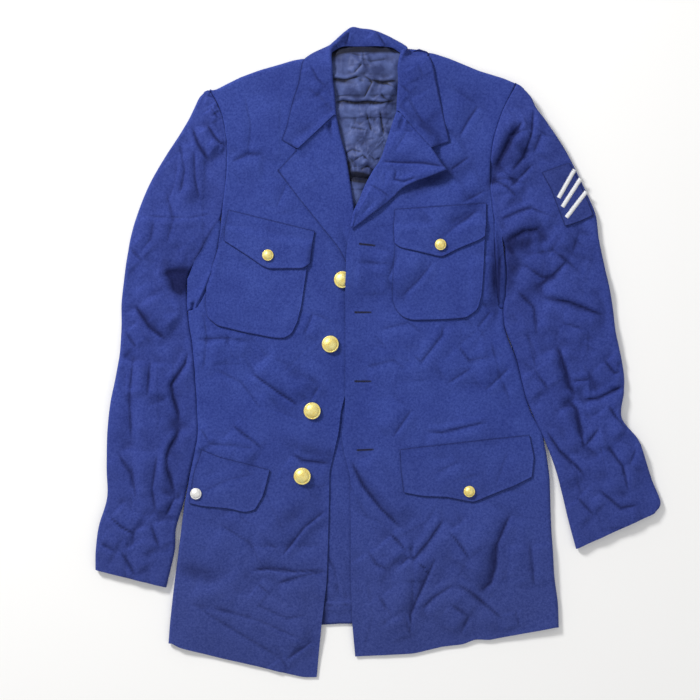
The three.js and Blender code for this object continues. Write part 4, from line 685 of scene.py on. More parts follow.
def set_uv(mesh, uv):
    """Gives each corner of each face the UV of its point."""
    at = np.zeros(len(mesh.loops), np.int32)
    mesh.loops.foreach_get("vertex_index", at)
    mesh.uv_layers[0].data.foreach_set("uv", uv[at].astype(np.float32).ravel())

def set_painted_shade(mesh, shade):
    """Keeps the painted shade of each point as its depth attribute, for the wool and satin to read."""
    depth = mesh.attributes.new("depth", "FLOAT", "POINT")
    depth.data.foreach_set("value", shade.astype(np.float32).ravel())

def grid_area(surface):
    a, b = surface[1:, 1:] - surface[:-1, :-1], surface[1:, :-1] - surface[:-1, 1:]
    return float(np.linalg.norm(np.cross(a, b), axis=2).sum() / 2 * MM * MM)

def hollow_depth_shade(surface):
    """Painted shade of each point, by how deep it lies below the cloth around it."""
    wide = calmed(surface[..., 2], 15)
    return np.clip(wide - surface[..., 2], 0, DEEPEST) * HOLLOW_SHADE

def positions(piece):
    """Points of a piece, in millimetres."""
    co = np.zeros(len(piece.data.vertices) * 3, np.float32)
    piece.data.vertices.foreach_get("co", co)
    return co.reshape(-1, 3) / MM

def move_points(piece, co):
    piece.data.vertices.foreach_set("co", (co * MM).astype(np.float32).ravel())
    piece.data.update()

# %% Panel maker
def panel(name, surface, thickness, shaded=0):
    """A closed cloth panel from its right side, a grid of points in millimetres."""
    # painted shade: darker in the hollows of the surface, plus the painted shade passed in
    shade = np.clip(hollow_depth_shade(surface) + shaded, 0, 1)
    if not facing_up(surface):
        surface, shade = surface[::-1], shade[::-1]
    rows, cols = surface.shape[:2]
    bpy.ops.object.select_all(action="DESELECT")
    bpy.ops.mesh.primitive_grid_add(x_subdivisions=cols - 1, y_subdivisions=rows - 1, size=1)
    piece = bpy.context.object
    piece.name = piece.data.name = name
    mesh = piece.data
    mesh.vertices.foreach_set("co", (surface * MM).ravel())
    set_uv(mesh, cloth_uv(surface).reshape(-1, 2))
    set_painted_shade(mesh, shade)
    solid = piece.modifiers.new("cloth", "SOLIDIFY")
    solid.thickness, solid.offset, solid.use_even_offset = thickness * MM, -1, False
    bpy.ops.object.modifier_apply(modifier="cloth")
    co = positions(piece)       # nothing goes below the floor
    move_points(piece, np.c_[co[:, :2], np.maximum(co[:, 2], 0)])
    bpy.ops.object.shade_smooth_by_angle(angle=CRISP)
    print(f"{name}: {rows} x {cols} points, {len(mesh.polygons) * 2} triangles, "
          f"{grid_area(surface):.4f} m2 of cloth")
    return piece

# %% Curves through sections, and cloth over cloth
def splined(sections, steps):
    """Sections joined by a curve that runs through each of them."""
    pad = np.concatenate([2 * sections[:1] - sections[1:2], sections, 2 * sections[-1:] - sections[-2:-1]])
    rows = []
    for k in range(len(sections) - 1):
        a, b, c, d = pad[k:k + 4]
        for t in np.arange(steps) / steps:
            rows.append(0.5 * (2 * b + (c - a) * t + (2 * a - 5 * b + 4 * c - d) * t ** 2
                               + (3 * b - a - 3 * c + d) * t ** 3))
    return np.array(rows + [sections[-1]])

def lifted(surface, below, thickness, air=0.25, passes=6):
    """A grid raised where its underside would touch what lies below."""
    top = highest(below, surface[..., 0], surface[..., 1])
    lack = np.nan_to_num(np.maximum(0, top + air + thickness - surface[..., 2]))
    rows, cols = lack.shape
    for _ in range(2):      # the lift spreads to the points around it, then is eased
        pad = np.pad(lack, 1, mode="edge")
        lack = np.max([pad[i:i + rows, j:j + cols] for i in range(3) for j in range(3)], axis=0)
    out = surface.copy()
    out[..., 2] += calmed(lack, passes)
    return out

def leaf_lifted(surface, below, thickness, rolled):
    """Raises a leaf clear of what is below; the rolled columns beyond it rise with its last one."""
    leaf = surface[:, :-rolled]
    raised = lifted(leaf, below, thickness, passes=3)[..., 2] - leaf[..., 2]
    surface[..., 2] += np.hstack([raised, raised[:, -1:].repeat(rolled, 1)])

# %% [markdown]
# ## The fronts
# A front runs from the shoulder to the hem. It rounds over at the shoulder, turns down at the
# armhole seam and folds right round at the side below it. The drafted face is stretched between
# its four lines first; the rounded rims are then added to it row by row.

# %% Lines inside a lapel
def lapel_lines(stations):
    """Free edge and roll line of a lapel."""
    return (np.array([s[k] for s in stations], float) for k in (0, 1))

def roll_out(side):
    """Unit directions out of a lapel's roll."""
    _, roll = lapel_lines(LAPEL[side])
    run = np.gradient(roll, axis=0)
    run /= np.linalg.norm(run, axis=1)[:, None]
    return np.stack([-run[:, 1], run[:, 0]], 1) * SIDES[side]

def narrowing(side):
    """The strip inside the roll narrows where the lapel does, towards its lower end."""
    edge, roll = lapel_lines(LAPEL[side])
    return np.minimum(1, np.linalg.norm(edge - roll, axis=1) / 30)

def centre_line(side):
    """Neck, inside of the lapel's roll, then the free edge."""
    _, roll = lapel_lines(LAPEL[side])
    inside = roll - roll_out(side) * (FLANGE * narrowing(side) + 0.2)[:, None]
    return np.vstack([CUT["neck"][side], inside, CUT["edge"][side]])

# %% Side line of a front
CLEAR = 6       # the drafted side fold is taken up this far below its first point
JOINED = 3      # rows from the side seam's end to the one that is half fold
def side_line(side):
    """Where the face of a front starts to round over, how far each row is fold instead of seam,
    and how many rows belong to the seam."""
    fold_line, fold_top = CUT["side_fold"][side], CUT["side_seam"][side][-1][1] - UNDERARM
    seam_part = CUT["armhole"][side] + CUT["side_seam"][side]
    fold_part = ([(float(across(fold_line, fold_top)), fold_top)]
                 + [p for p in fold_line if p[1] < fold_top - CLEAR])
    upper = eased(seam_part, even(int(length(seam_part) / STEP)), 4)
    lower = eased(fold_part, even(int(length(fold_part) / STEP)), 5)
    joint = spaced([upper[-1], lower[0]], even(JOINED + 2))[1:-1]
    outside = np.vstack([upper, joint, lower])
    fold = np.r_[np.zeros(len(upper) + JOINED), 0.5, np.ones(len(lower))]
    inset = beside(outside, SIDES[side] * lerp(SEAM, FOLD, fold))
    bend = slice(len(upper) - 2, len(upper) + JOINED + 4)       # straight across the bend
    inset[bend] = spaced(inset[[bend.start, bend.stop - 1]], even(JOINED + 5))
    return inset, fold, len(upper)

# %% Face of a front
SHOULDER = 230      # the length that the columns are spaced for, in millimetres
EDGE_STEPS = 7      # points round an edge
def front_face(side, inset):
    """The drafted face with its heights, and the shoulder's edge that it rounds over to."""
    hand = SIDES[side]
    u, v = bordered(SHOULDER, STEP, (0, 1.4, 3.0)), even(len(inset) - 1)
    edge = eased(CUT["shoulder"][side], u, 3)
    corner = step_up(u * SHOULDER / 20)[:, None]
    roll = lerp(edge + [hand * SEAM, 0], beside(edge, -hand * FOLD), corner)
    inset[0] = roll[0]
    inner = eased(np.vstack([roll[-1:], centre_line(side)[1:]]), v, 3)
    last = eased(np.vstack([inset[-1:], CUT["hem"][side][1:]]), u, 3)
    plan = stretched(roll, last, inset, inner, u, v)
    z = rested("front_" + side, plan, 42) + body_folds(side, plan[..., 0], plan[..., 1])
    return np.dstack([plan, z]), edge - roll, roll[:, 1]

def over_shoulder(top, reach, y):
    """Rows that round over at the shoulder and run down behind it."""
    out = np.c_[reach, np.zeros(len(reach))]
    reach = np.linalg.norm(out, axis=1)
    out /= reach[:, None]
    height = top[0, :, 2] - 2.4 * step_up((y - 350) / 16)       # it ends on the back
    over = []
    for j in range(len(reach)):
        a, b = fold_turn(reach[j], height[j], LAP_SHOULDER, EDGE_STEPS)
        over.append(top[0, j] + np.outer(a, out[j]) - np.outer(b, UP))
    return np.swapaxes(np.array(over), 0, 1)[::-1]

# %% Side of a front, and the whole of it
NARROW_START, FULL_AFTER = 0.45, 6      # the fold starts narrower by this share, and widens over rows
HELD_IN = 0.25      # share of its reach where it is held in beside the side panel's end
PANEL_END = [(-0.7, 0.7), (0, 1), (-0.2, 1), (-0.8, 0.6)]       # ways out across a side panel's end
def round_side(surface, over, fold, seam_rows, hand):
    """Columns that turn the side down at the seam, and right round below it."""
    down, right = np.gradient(surface, axis=0), np.gradient(surface, axis=1)
    normal = np.cross(right, down)
    normal /= np.linalg.norm(normal, axis=2)[..., None]
    normal *= np.sign(normal[over + 20:, :, 2].sum())
    since = np.arange(len(surface)) - (over + seam_rows + JOINED)       # rows since the fold began
    columns = []
    for i, row in enumerate(surface):
        away, n, f = row[0] - row[1], normal[i, 0], 0.0
        if i >= over:
            f = fold[i - over]
            away[2], n = 0, np.array([0, 0, 1.0])
            away[1] *= 1 - f
            if -len(PANEL_END) < since[i] <= 0:
                x, y = PANEL_END[since[i] + len(PANEL_END) - 1]
                away = np.array([x * hand, y, 0])
        away = away / np.linalg.norm(away)
        seam_out, seam_down = seam_turn(SEAM, row[0][2], EDGE_STEPS)
        fold_out, fold_down = fold_turn(FOLD, row[0][2], LAP_SIDE, EDGE_STEPS)
        fold_out = fold_out * (1 - NARROW_START * math.exp(-max(0, since[i]) / FULL_AFTER))
        a, b = lerp(seam_out, fold_out, f), lerp(seam_down, fold_down, f)
        if -len(PANEL_END) <= since[i] <= 1:
            a = a * HELD_IN
        columns.append((row[0] + np.outer(a, away) - np.outer(b, n))[::-1])
    return np.array(columns)

def front_surface(side):
    inset, fold, seam_rows = side_line(side)
    top, reach, y = front_face(side, inset)
    over = over_shoulder(top, reach, y)
    surface = np.concatenate([over, top])
    return np.concatenate([round_side(surface, len(over), fold, seam_rows, SIDES[side]), surface], axis=1)

# %% [markdown]
# ## Side panels, sleeves, lapels and collar
# A side panel is a narrow strip between the side seam and the fold below the armhole. A sleeve
# is a flattened tube: sections across it are joined by a smooth curve. A lapel's sections run
# from its free edge over the roll and a little way in; a collar's run from the edge of its fall
# over the roll, down the stand and to the neck seam. Each section is placed in the frame first,
# and the curve between them then gives the even flow of pressed cloth.

# %% Side panel
PANEL_ROWS, PANEL_COLUMNS, TUCKED_ROWS = 46, 18, 4
ARMPIT = {"left": [(-208, 174.5), (-213.4, 170.8), (-227.8, 146.8), (-242.0, 121.4), (-252, 97)],
          "right": [(154, 178), (156.8, 173), (162.9, 158), (168.4, 142)]}
PANEL_TOP = {"left": 97, "right": 138}      # y at which its folded side starts
GROOVE, GROOVE_REACH = 1.3, 1.4     # depth and reach of the groove along the seam
STEP_REACH = 11     # how far the panel climbs towards the front's height
def panel_plan(side):
    """Plan of a side panel, distances from its seam, the way and reach of its fold in each row,
    and the way down at the end of the seam."""
    hand, seam = SIDES[side], CUT["side_seam"][side]
    lap = hand * (0.8 + 2.4 * step_up((even(60) - 0.7) / 0.3))      # under the front, more so below
    sewn = spaced(beside(eased(seam, even(60), 3), lap), np.linspace(0, 0.998, PANEL_ROWS))
    sewn[0] = ARMPIT[side][0]
    y = np.linspace(PANEL_TOP[side], seam[-1][1] - UNDERARM + 0.4, PANEL_ROWS)
    fold = np.stack([across(CUT["side_fold"][side], y), y], 1)
    width = np.linalg.norm(fold - sewn, axis=1)
    out = (fold - sewn) / width[:, None]
    reach = np.minimum(FOLD, width * 0.6)
    end = fold - out * reach[:, None]
    t, v = even(PANEL_COLUMNS) ** 1.5, even(PANEL_ROWS - 1)
    first = eased(ARMPIT[side][:-1] + [tuple(end[0])], t, 3)
    plan = stretched(first, lerp(sewn[-1], end[-1], t[:, None]), sewn, end, t, v)
    down = (sewn[-1] - sewn[-5]) / np.linalg.norm(sewn[-1] - sewn[-5])
    return plan, t[None] * width[:, None], out, reach, down

def seam_step(side, name, z):
    """How far the front lies above each row of the panel, along their seam."""
    seam = beside(eased(CUT["side_seam"][side], even(60), 3), SIDES[side] * 4.5)
    inside = spaced(seam, np.linspace(0.02, 0.96, PANEL_ROWS))
    level = filled(felt(f"front_{side}_cloth", inside[:, 0], inside[:, 1])[None])[0]
    return np.convolve(np.pad(level - 0.3 - z[:, 0], 4, mode="edge"), np.ones(9) / 9, mode="valid")

def side_surface(side):
    hand, name = SIDES[side], "side_panel_" + side
    plan, from_seam, out, reach, down = panel_plan(side)
    z = rested(name, plan, 4) + body_folds(side, plan[..., 0], plan[..., 1]) * 0.6
    step = seam_step(side, name, z)
    z += (step[:, None] * np.exp(-from_seam / STEP_REACH)
          - GROOVE * np.exp(-(from_seam / GROOVE_REACH) ** 2))
    top = np.dstack([plan, z])
    # its lower end slips under the front
    under = [top[-1] + np.r_[down * 1.4 * k, -0.25 * k * k] for k in range(1, TUCKED_ROWS + 1)]
    top = np.concatenate([top, under])
    out, reach = np.vstack([out, out[-1:].repeat(TUCKED_ROWS, 0)]), np.r_[reach, [reach[-1]] * TUCKED_ROWS]
    tails = []
    for i, row in enumerate(top):
        u, b = fold_turn(reach[i], row[-1, 2], LAP_SIDE, EDGE_STEPS)
        back = np.minimum(0, u)
        x, y = out[i, 0] * (u - back) - hand * back, out[i, 1] * (u - back)
        tails.append(row[-1] + np.stack([x, y, -b], 1))
    return np.concatenate([top, np.array(tails)], axis=1)

# %% Sleeve
SECTION_STEPS, ACROSS, SLEEVE_EDGE_STEPS = 13, 58, 8
LOWEST_TOP = 5.2        # a hollow of a sleeve goes no lower than this
INTO_ARMHOLE = (2.2, 1.35)      # how far the inner edge reaches in at the head, and further down
def sleeve_lines(side):
    """Silhouette and inner edge of a sleeve in even steps, and how far each row is from the
    armhole (0) to free (1)."""
    stations = np.array(SLEEVE[side]["stations"], float)
    at = np.linspace(0, len(stations) - 1, (len(stations) - 1) * SECTION_STEPS + 1)
    lines = splined(stations, SECTION_STEPS)
    return lines[:, 0], lines[:, 1], at, step_up(at - (SLEEVE[side]["sewn"] - 1))

def sleeve_surface(side):
    silhouette, inner, at, free = sleeve_lines(side)
    width = np.linalg.norm(inner - silhouette, axis=1)
    ahead = (inner - silhouette) / width[:, None]
    reach_out = np.minimum(FOLD, width * 0.35)
    reach_in = lerp(np.minimum(SEAM, width * 0.2), FOLD, free)
    lap = np.minimum(LAP_SLEEVE, width * 0.25)
    a = silhouette + ahead * reach_out[:, None]
    b = inner - ahead * (reach_in - lerp(*INTO_ARMHOLE, step_up(at / 3)))[:, None]
    plan = a[:, None] + (b - a)[:, None] * even(ACROSS)[None, :, None]
    z = rested("sleeve_top_" + side, plan, 16)
    top = np.dstack([plan, np.maximum(z + sleeve_folds(side, plan[..., 0], plan[..., 1]), LOWEST_TOP)])
    rows = []
    for i, row in enumerate(top):
        way = np.r_[ahead[i], 0]
        u, d = fold_turn(reach_out[i], row[0][2], lap[i], SLEEVE_EDGE_STEPS)
        outer = (row[0] - np.outer(u, way) - np.outer(d, UP))[::-1]
        seam_out, seam_down = seam_turn(reach_in[i], row[-1][2], SLEEVE_EDGE_STEPS)
        fold_out, fold_down = fold_turn(reach_in[i], row[-1][2], lap[i], SLEEVE_EDGE_STEPS)
        u, d = lerp(seam_out, fold_out, free[i]), lerp(seam_down, fold_down, free[i])
        rows.append(np.vstack([outer, row, row[-1] + np.outer(u, way) - np.outer(d, UP)]))
    return np.array(sleeve_head(side, rows[0], ahead[0], width[0]) + rows)

# %% Sleeve head
HEAD_ROUND = 1.4
def sleeve_head(side, head, ahead, width):
    """Rows that round the top of a sleeve over towards the floor."""
    up = np.r_[-ahead[1], ahead[0], 0] * SIDES[side]
    along = np.clip((head - head[SLEEVE_EDGE_STEPS + 1]) @ np.r_[ahead, 0] / width, -0.1, 1)
    bulge = (np.clip(np.sin(math.pi * np.clip(along + 0.03, 0, 1)), 0, 1) ** 0.8)[:, None]
    cap = []
    for turn in np.radians([90, 72, 54, 36, 18]):
        row = head + up * HEAD_ROUND * math.sin(turn) * bulge
        row[:, 2] = head[:, 2] * math.cos(turn) + 0.3
        cap.append(row)
    return cap

# %% Lapel
ROLL_POINTS = 8
STRIP_AT = (0.3, 0.65, 1.0)     # points on the strip inside the roll
LEAF = 60       # the width in millimetres that the points of a leaf are spaced for
def lapel_surface(side):
    out, narrow = roll_out(side), narrowing(side)
    edge, roll = lapel_lines(LAPEL[side])
    centre = roll - out * ROLL
    t = bordered(LEAF, 1.3, (0, 0.5, 1.1, 1.8))
    plan = edge[:, None] + (centre - edge)[:, None] * t[None, :, None]
    seam = beside(np.array([NOTCH[side], centre[0]]), -SIDES[side] * 0.2)
    plan[0] = spaced(np.vstack([edge[:1], seam[:1], centre[:1]]), t)
    z = filled(felt("lapel_" + side, plan[..., 0], plan[..., 1]))
    angle = np.linspace(0, math.pi, ROLL_POINTS + 1)[1:]
    sections = []
    for i in range(len(plan)):
        leaf = np.c_[plan[i], z[i]]
        last, way = leaf[-1], np.r_[out[i], 0]
        fall = np.outer(ROLL * (1 - np.cos(angle)), UP)
        rolled = last + np.outer(np.sin(angle), way) * ROLL - fall
        reach = FLANGE * narrow[i] - ROLL - 1
        strip = [last - way * reach * k - np.array([0, 0, 2 * ROLL]) for k in STRIP_AT]
        sections.append(np.vstack([leaf, rolled, strip]))
    tucked = tucked_row(side, sections[0], len(t), edge[0], centre[0])
    return np.concatenate([[tucked], splined(np.array(sections), 14)])

def tucked_row(side, first, count, corner, centre):
    """The end of a lapel that is sewn under the collar; its point stays free up to the notch."""
    run = np.linalg.norm(np.diff(first[:count, :2], axis=0, prepend=first[:1, :2]), axis=1).cumsum()
    tucked = np.ones(len(first))
    tucked[:count] = step_up((run - math.dist(corner, NOTCH[side])) / 6)
    along = centre - np.array(NOTCH[side])
    up = np.array([-along[1], along[0]]) / np.hypot(*along) * SIDES[side]
    way = tucked[:, None] * up * 4 + (1 - tucked[:, None]) * up * 0.05
    return first + np.c_[way, -2.3 * tucked]

# %% Collar
STAND_POINTS = 10
def standing_leaf(fall, height, centre, out, ahead, aside, turn, radius, t):
    """Fall of the collar where it stands up: a free curve from its edge to the roll."""
    start, end = np.r_[fall, height], centre + aside * radius
    a = start + (out * 12 if turn > 60 else UP * 3)
    b = end - ahead * 10
    b[2] = max(b[2], 0)
    k = t[:, None]
    return (1 - k) ** 3 * start + 3 * k * (1 - k) ** 2 * a + 3 * k * k * (1 - k) * b + k ** 3 * end

def collar_section(k, run, t):
    """One section: fall, roll and stand; it turns from lying flat to standing at the nape."""
    fall, roll, neck, turn, heights = COLLAR[k]
    out, w = np.r_[-run[1], run[0], 0], math.radians(turn)
    ahead, aside = -math.cos(w) * out + math.sin(w) * UP, math.cos(w) * UP + math.sin(w) * out
    radius = lerp(ROLL, COLLAR_ROLL, float(step_up(turn / 120)))
    middle = np.array(roll) - ahead[:2] * radius
    if turn < 20:
        tip = {0: NOTCH["left"], len(COLLAR) - 1: NOTCH["right"]}.get(k)
        plan = spaced([fall, tip, middle] if tip else [fall, middle], t)
        leaf = np.c_[plan, filled(felt("collar", plan[:, 0], plan[:, 1])[None])[0]]
        centre = leaf[-1] - aside * radius
    else:
        centre = np.r_[middle, heights[1]]
        leaf = standing_leaf(fall, heights[0], centre, out, ahead, aside, turn, radius, t)
    angle = np.linspace(0, math.pi, ROLL_POINTS + 1)[1:]
    rolled = centre + radius * (np.outer(np.cos(angle), aside) + np.outer(np.sin(angle), ahead))
    if heights:
        foot_z = heights[2]
    else:
        under = felt("front_left" if roll[0] < -20 else "front_right", *[[v] for v in neck])[0]
        foot_z = float(np.nan_to_num(under, nan=9.0)) - CLOTH
    foot = np.r_[neck, foot_z]
    stand = [lerp(rolled[-1], foot, s) - aside * 0.4 * math.sin(math.pi * s) for s in even(STAND_POINTS)[1:]]
    return np.vstack([leaf, rolled, stand])

def collar_surface():
    roll = np.array([s[1] for s in COLLAR], float)
    run = np.gradient(roll, axis=0)
    run[1:-1] = roll[2:] - roll[:-2]
    run /= np.linalg.norm(run, axis=1)[:, None]
    t = bordered(LEAF, 1.8, (0, 0.6, 1.3))
    return splined(np.array([collar_section(k, run[k], t) for k in range(len(COLLAR))]), 11)

# %% [markdown]
# ## Back, under sleeves and lining first
# The lowest layers are made first, because each layer above is tested against them. Back and
# under sleeves lie flat, so a merged, subdivided copy of their solids is enough; only the strip
# that shows between the fronts gets folds of its own.

# %% Flat panels from their solids
def flat_panel(node, name, cuts):
    """A finer copy of a flat solid."""
    source = frame["nodes"][node]
    bpy.ops.object.select_all(action="DESELECT")
    piece = source.copy()
    piece.data = source.data.copy()
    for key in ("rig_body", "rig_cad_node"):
        if key in piece:
            del piece[key]
    scene.collection.objects.link(piece)
    piece.parent = None
    piece.name = piece.data.name = name
    piece.data.materials.clear()
    piece.select_set(True)
    bpy.context.view_layer.objects.active = piece
    bpy.ops.object.mode_set(mode="EDIT")
    bpy.ops.mesh.select_all(action="SELECT")
    bpy.ops.mesh.remove_doubles(threshold=0.00002)
    bpy.ops.mesh.subdivide(number_cuts=cuts)
    bpy.ops.object.mode_set(mode="OBJECT")
    return piece

def finish_flat(piece, co, shade):
    """Places its points, and gives it a plan UV map in metres."""
    move_points(piece, co)
    mesh = piece.data
    while mesh.uv_layers:
        mesh.uv_layers.remove(mesh.uv_layers[0])
    mesh.uv_layers.new(name="UVMap")
    set_uv(mesh, co[:, :2] * MM)
    set_painted_shade(mesh, shade)
    bpy.ops.object.shade_smooth_by_angle(angle=CRISP)
    print(f"{piece.name}: {len(mesh.polygons)} faces")

# %% Back and under sleeves
STRIP_FOLDS = [
    ([(-72, -240), (-52, -262), (-40, -300)], 1.2, 5, 7),
    ([(-66, -300), (-50, -318), (-38, -322)], -1.2, 4, 5),
    ([(-70, -262), (-58, -285), (-50, -330)], -1.3, 4, 6), ([(-60, -200), (-44, -232)], 0.9, 5, 6),
    ([(-74, -332), (-54, -336), (-32, -331)], -1.2, 1.8, 2.6), ([(-58, -358), (-52, -340)], 0.5, 4, 4)]
def in_strip(x, y):
    """1 on the strip of the back that shows between the fronts, fading to 0 around it."""
    return step_up((x + 90) / 20) * step_up((-10 - x) / 20) * step_up((-120 - y) / 60)

def strip_shade(x, y):
    """The strip lies in shade beside the front that covers it, and along its turned-up hem."""
    wedge = step_up((-62 - x) / 9) * step_up((-250 - y) / 50)
    return hollows(STRIP_FOLDS, x, y, 1.2) * 0.7 + 0.7 * wedge

pieces = {}
for side in SIDES:
    for node, cuts in (("back_", 7), ("sleeve_under_", 3)):
        piece = flat_panel(node + side, node + side + "_cloth", cuts)
        co = positions(piece)
        x, y, z = co.T
        shade = 0 * x
        if node == "back_":     # only the upper face is folded
            co[:, 2] = np.where(z > 1.0, z + in_strip(x, y) * folded(STRIP_FOLDS, x, y), z)
            shade = np.clip(in_strip(x, y) * strip_shade(x, y), 0, 1)
        finish_flat(piece, co, shade)
        pieces[node + side] = piece

# %% [markdown]
# ## The lining
# Old satin lining is slacker than the wool, so it gathers into many small sharp creases. The
# sheet is a fine grid: the larger pinches across the neck are drawn one by one, and two sizes of
# chance creases fill in between.

# %% Creases of the lining
LINING_FOLDS = [
    ([(-64, 362), (-44, 359), (-22, 365)], -2.2, 3, 6), ([(-12, 360), (6, 356), (25, 359)], -1.6, 3, 5),
    ([(-20, 366), (-11, 360), (-8, 356), (-19, 335)], -1.6, 3, 5),
    ([(0, 356), (12, 354), (24, 348)], -1.4, 3, 4),
    ([(3, 343), (8, 336), (16, 332)], -1.3, 3, 4),
    ([(-60, 330), (-46, 332.5), (-30, 329.5), (-14, 331.5), (4, 329), (24, 333.5)], -2.3, 3, 6),
    ([(-58, 341), (-15, 342), (24, 342)], 0.7, 7, 6), ([(-16, 318), (-8, 290)], -1.3, 3, 4),
    ([(2, 320), (8, 285)], -1.4, 3, 3),
    ([(-45, 262), (-34, 268), (-18, 263)], -1.2, 3, 4),
    ([(-34, 252), (-20, 260), (-10, 251)], -1.3, 3, 4),
    ([(-14, 262), (-4, 254), (4, 258)], -1.0, 2, 4), ([(-24, 241), (-14, 246), (-3, 238)], -1.0, 3, 3),
    ([(-37, 395), (-24, 392), (-10, 394)], -1.2, 3, 4),
    ([(-30, 390), (-10, 384), (14, 388)], -0.9, 4, 5), ([(-38, 298), (-10, 292)], -0.9, 3, 4),
    ([(-38, 232), (-8, 229)], -2.0, 4, 4), ([(-20, 382), (-34, 366)], -1.0, 3, 3)]
LINING_SHADE = [(-26, 231, 20, 6, -8, 2.2), (-39, 246, 9, 3.5, 80, 1.1), (-56, 396, 16, 7, 25, 1.0),
                (-50, 358, 14, 3, -5, 0.7), (8, 357, 20, 3, 0, 0.6), (-18, 329, 44, 2.4, 0, 0.5)]

# %% Lining
BACKS = ["back_left_cloth", "back_right_cloth"]
def lining_surface():
    left, right = LINING_EDGES["left"], LINING_EDGES["right"]
    u, v = even(96), even(230)
    top, bottom = spaced([left[0], right[0]], u), spaced([left[-1], right[-1]], u)
    plan = stretched(top, bottom, eased(left, v, 4), eased(right, v, 4), u, v)
    x, y = plan[..., 0], plan[..., 1]
    large = chance_creases(31, 30, (-60, 235), (35, 390), (20, 50), (0.2, 0.6), (1.6, 3.4))
    small = chance_creases(32, 90, (-60, 225), (34, 332), (10, 30), (0.14, 0.45), (0.9, 2.0), 80, 35)
    creases = LINING_FOLDS + large + small
    z = rested("lining", plan, 30) + folded(creases, x, y) + waves(x, y, 33, 60, 24, 0.5) + 1.0
    under_stand = step_up((y - 392) / 8)
    z = lerp(z, np.minimum(z, 3.5), under_stand)
    surface = lifted(np.dstack([plan, z]), BACKS, LINING_CLOTH, passes=2)
    right_edge_shadow = step_up((x - across(right, y) + 6) / 6)
    # painted shade in the creases, painted shadow of the collar stand along the top, and painted shadow along
    # the right edge
    shade = (0.55 * hollows(creases, x, y, 0.9) + pits(LINING_SHADE, x, y)
             + 0.8 * step_up((y - 393) / 5) + 0.6 * right_edge_shadow)
    return surface, shade

surface, shade = lining_surface()
pieces["lining"] = panel("lining_satin", surface, LINING_CLOTH, shade)

# %% [markdown]
# ## Fronts, side panels and sleeves
# The viewer's left front goes down first, with its lapel; the other front laps over it, as the
# jacket lies. Each is lifted wherever a layer below would touch it.

# %% Left front, its side panel, and the sleeves
def shaded_panel(name, surface, thickness, shade, side):
    return panel(name, surface, thickness, shade(side, surface[..., 0], surface[..., 1]))

def front(side, below):
    surface = lifted(front_surface(side), below, CLOTH)
    return shaded_panel(f"front_{side}_cloth", surface, CLOTH, body_shade, side)

def side_panel(side):
    return shaded_panel(f"side_panel_{side}_cloth", side_surface(side), CLOTH, body_shade, side)

def sleeve(side):
    return shaded_panel(f"sleeve_{side}_cloth", sleeve_surface(side), CLOTH, sleeve_shade, side)

pieces["front_left"] = front("left", BACKS)
pieces["side_panel_left"] = side_panel("left")
for side in SIDES:
    pieces["sleeve_top_" + side] = sleeve(side)

# %% [markdown]
# ## Lapels and collar
# The lapels are the facings turned out over the fronts, and the collar is sewn over their upper
# ends. A turned edge shows as a narrow dark line, because it stands a little off the cloth below
# and keeps the light out. The line is drawn by the distance from the edge, so it follows every
# curve of it. The left lapel goes down first, since the right front laps over it.

# %% Folds of lapels and collar
LAPEL_FOLDS = {
    "left": [([(-88, 262), (-70, 225)], -0.4, 6, 10)],
    "right": [([(0, 252), (30, 250), (60, 249), (90, 243)], -2.2, 12, 5),
              ([(24, 242), (22, 228), (34, 225), (52, 231)], -1.3, 3, 4),
              ([(-12, 222), (6, 212), (16, 204)], -1.0, 5, 8), ([(38, 292), (20, 262)], -0.8, 8, 6)]}
LAPEL_SWELL = {"left": [], "right": [(66, 236, 26, 8, 8, 5.0)]}         # one point stands up
COLLAR_FOLDS = [
    ([(-95, 351), (-76, 336), (-57, 316)], -0.8, 7, 14),
    ([(-89, 379), (-80, 360), (-68, 349)], -1.0, 5, 7),
    ([(-66, 346), (-58, 330)], -0.5, 6, 9), ([(-38, 423), (-41, 408)], -1.4, 3, 4),
    ([(-4, 426), (4, 414), (11, 403)], -1.5, 3, 5), ([(-56, 412), (-44, 414)], -1.0, 3, 4),
    ([(30, 352), (44, 340)], -0.9, 6, 8), ([(40, 335), (52, 312), (62, 300)], -0.9, 10, 7),
    ([(52, 380), (60, 362)], -0.8, 5, 7)]

# %% Shade along turned edges
def run_along(line):
    """Length along a row of points, up to each of them."""
    return np.linalg.norm(np.diff(line, axis=0, prepend=line[:1]), axis=1).cumsum()

def rim_shade(surface, reach=1.3):
    """Dark line along the free edge of a turned piece, its first column."""
    run = np.linalg.norm(np.diff(surface, axis=1, prepend=surface[:, :1]), axis=2).cumsum(axis=1)
    return np.exp(-(run / reach) ** 2)

def notch_shade(surface, side):
    """The short edge between a lapel's point and the collar seam lies open too."""
    run = run_along(surface[1])
    free = step_up((math.dist(LAPEL[side][0][0], NOTCH[side]) + 3 - run) / 6)
    down = np.linalg.norm(np.diff(surface, axis=0, prepend=surface[:1]), axis=2).cumsum(axis=0)
    return np.exp(-(down / 1.6) ** 2) * free[None]

def end_shade(surface, k, side):
    """The same at one end of the collar, fainter where the lapel is sewn to it."""
    free = step_up((math.dist(COLLAR[k][0], NOTCH[side]) + 2 - run_along(surface[k])) / 4)
    run = np.linalg.norm(surface - surface[k], axis=2)
    return np.exp(-(run / 1.5) ** 2) * (0.12 + 0.6 * free)

# %% Lapels, right front and collar
RIM = 0.75      # how dark the line along a turned edge is
def lapel(side, below):
    surface = lapel_surface(side)
    x, y = surface[..., 0], surface[..., 1]
    folds = LAPEL_FOLDS[side]
    surface[..., 2] += body_folds(side, x, y) * 0.35 + folded(folds, x, y)
    surface[..., 2] += pits(LAPEL_SWELL[side], x, y)
    shade = 0.5 * hollows(folds, x, y) + RIM * np.maximum(rim_shade(surface), notch_shade(surface, side))
    leaf_lifted(surface, below, FACING, ROLL_POINTS + len(STRIP_AT))
    return panel(f"lapel_{side}_cloth", surface, FACING, shade)

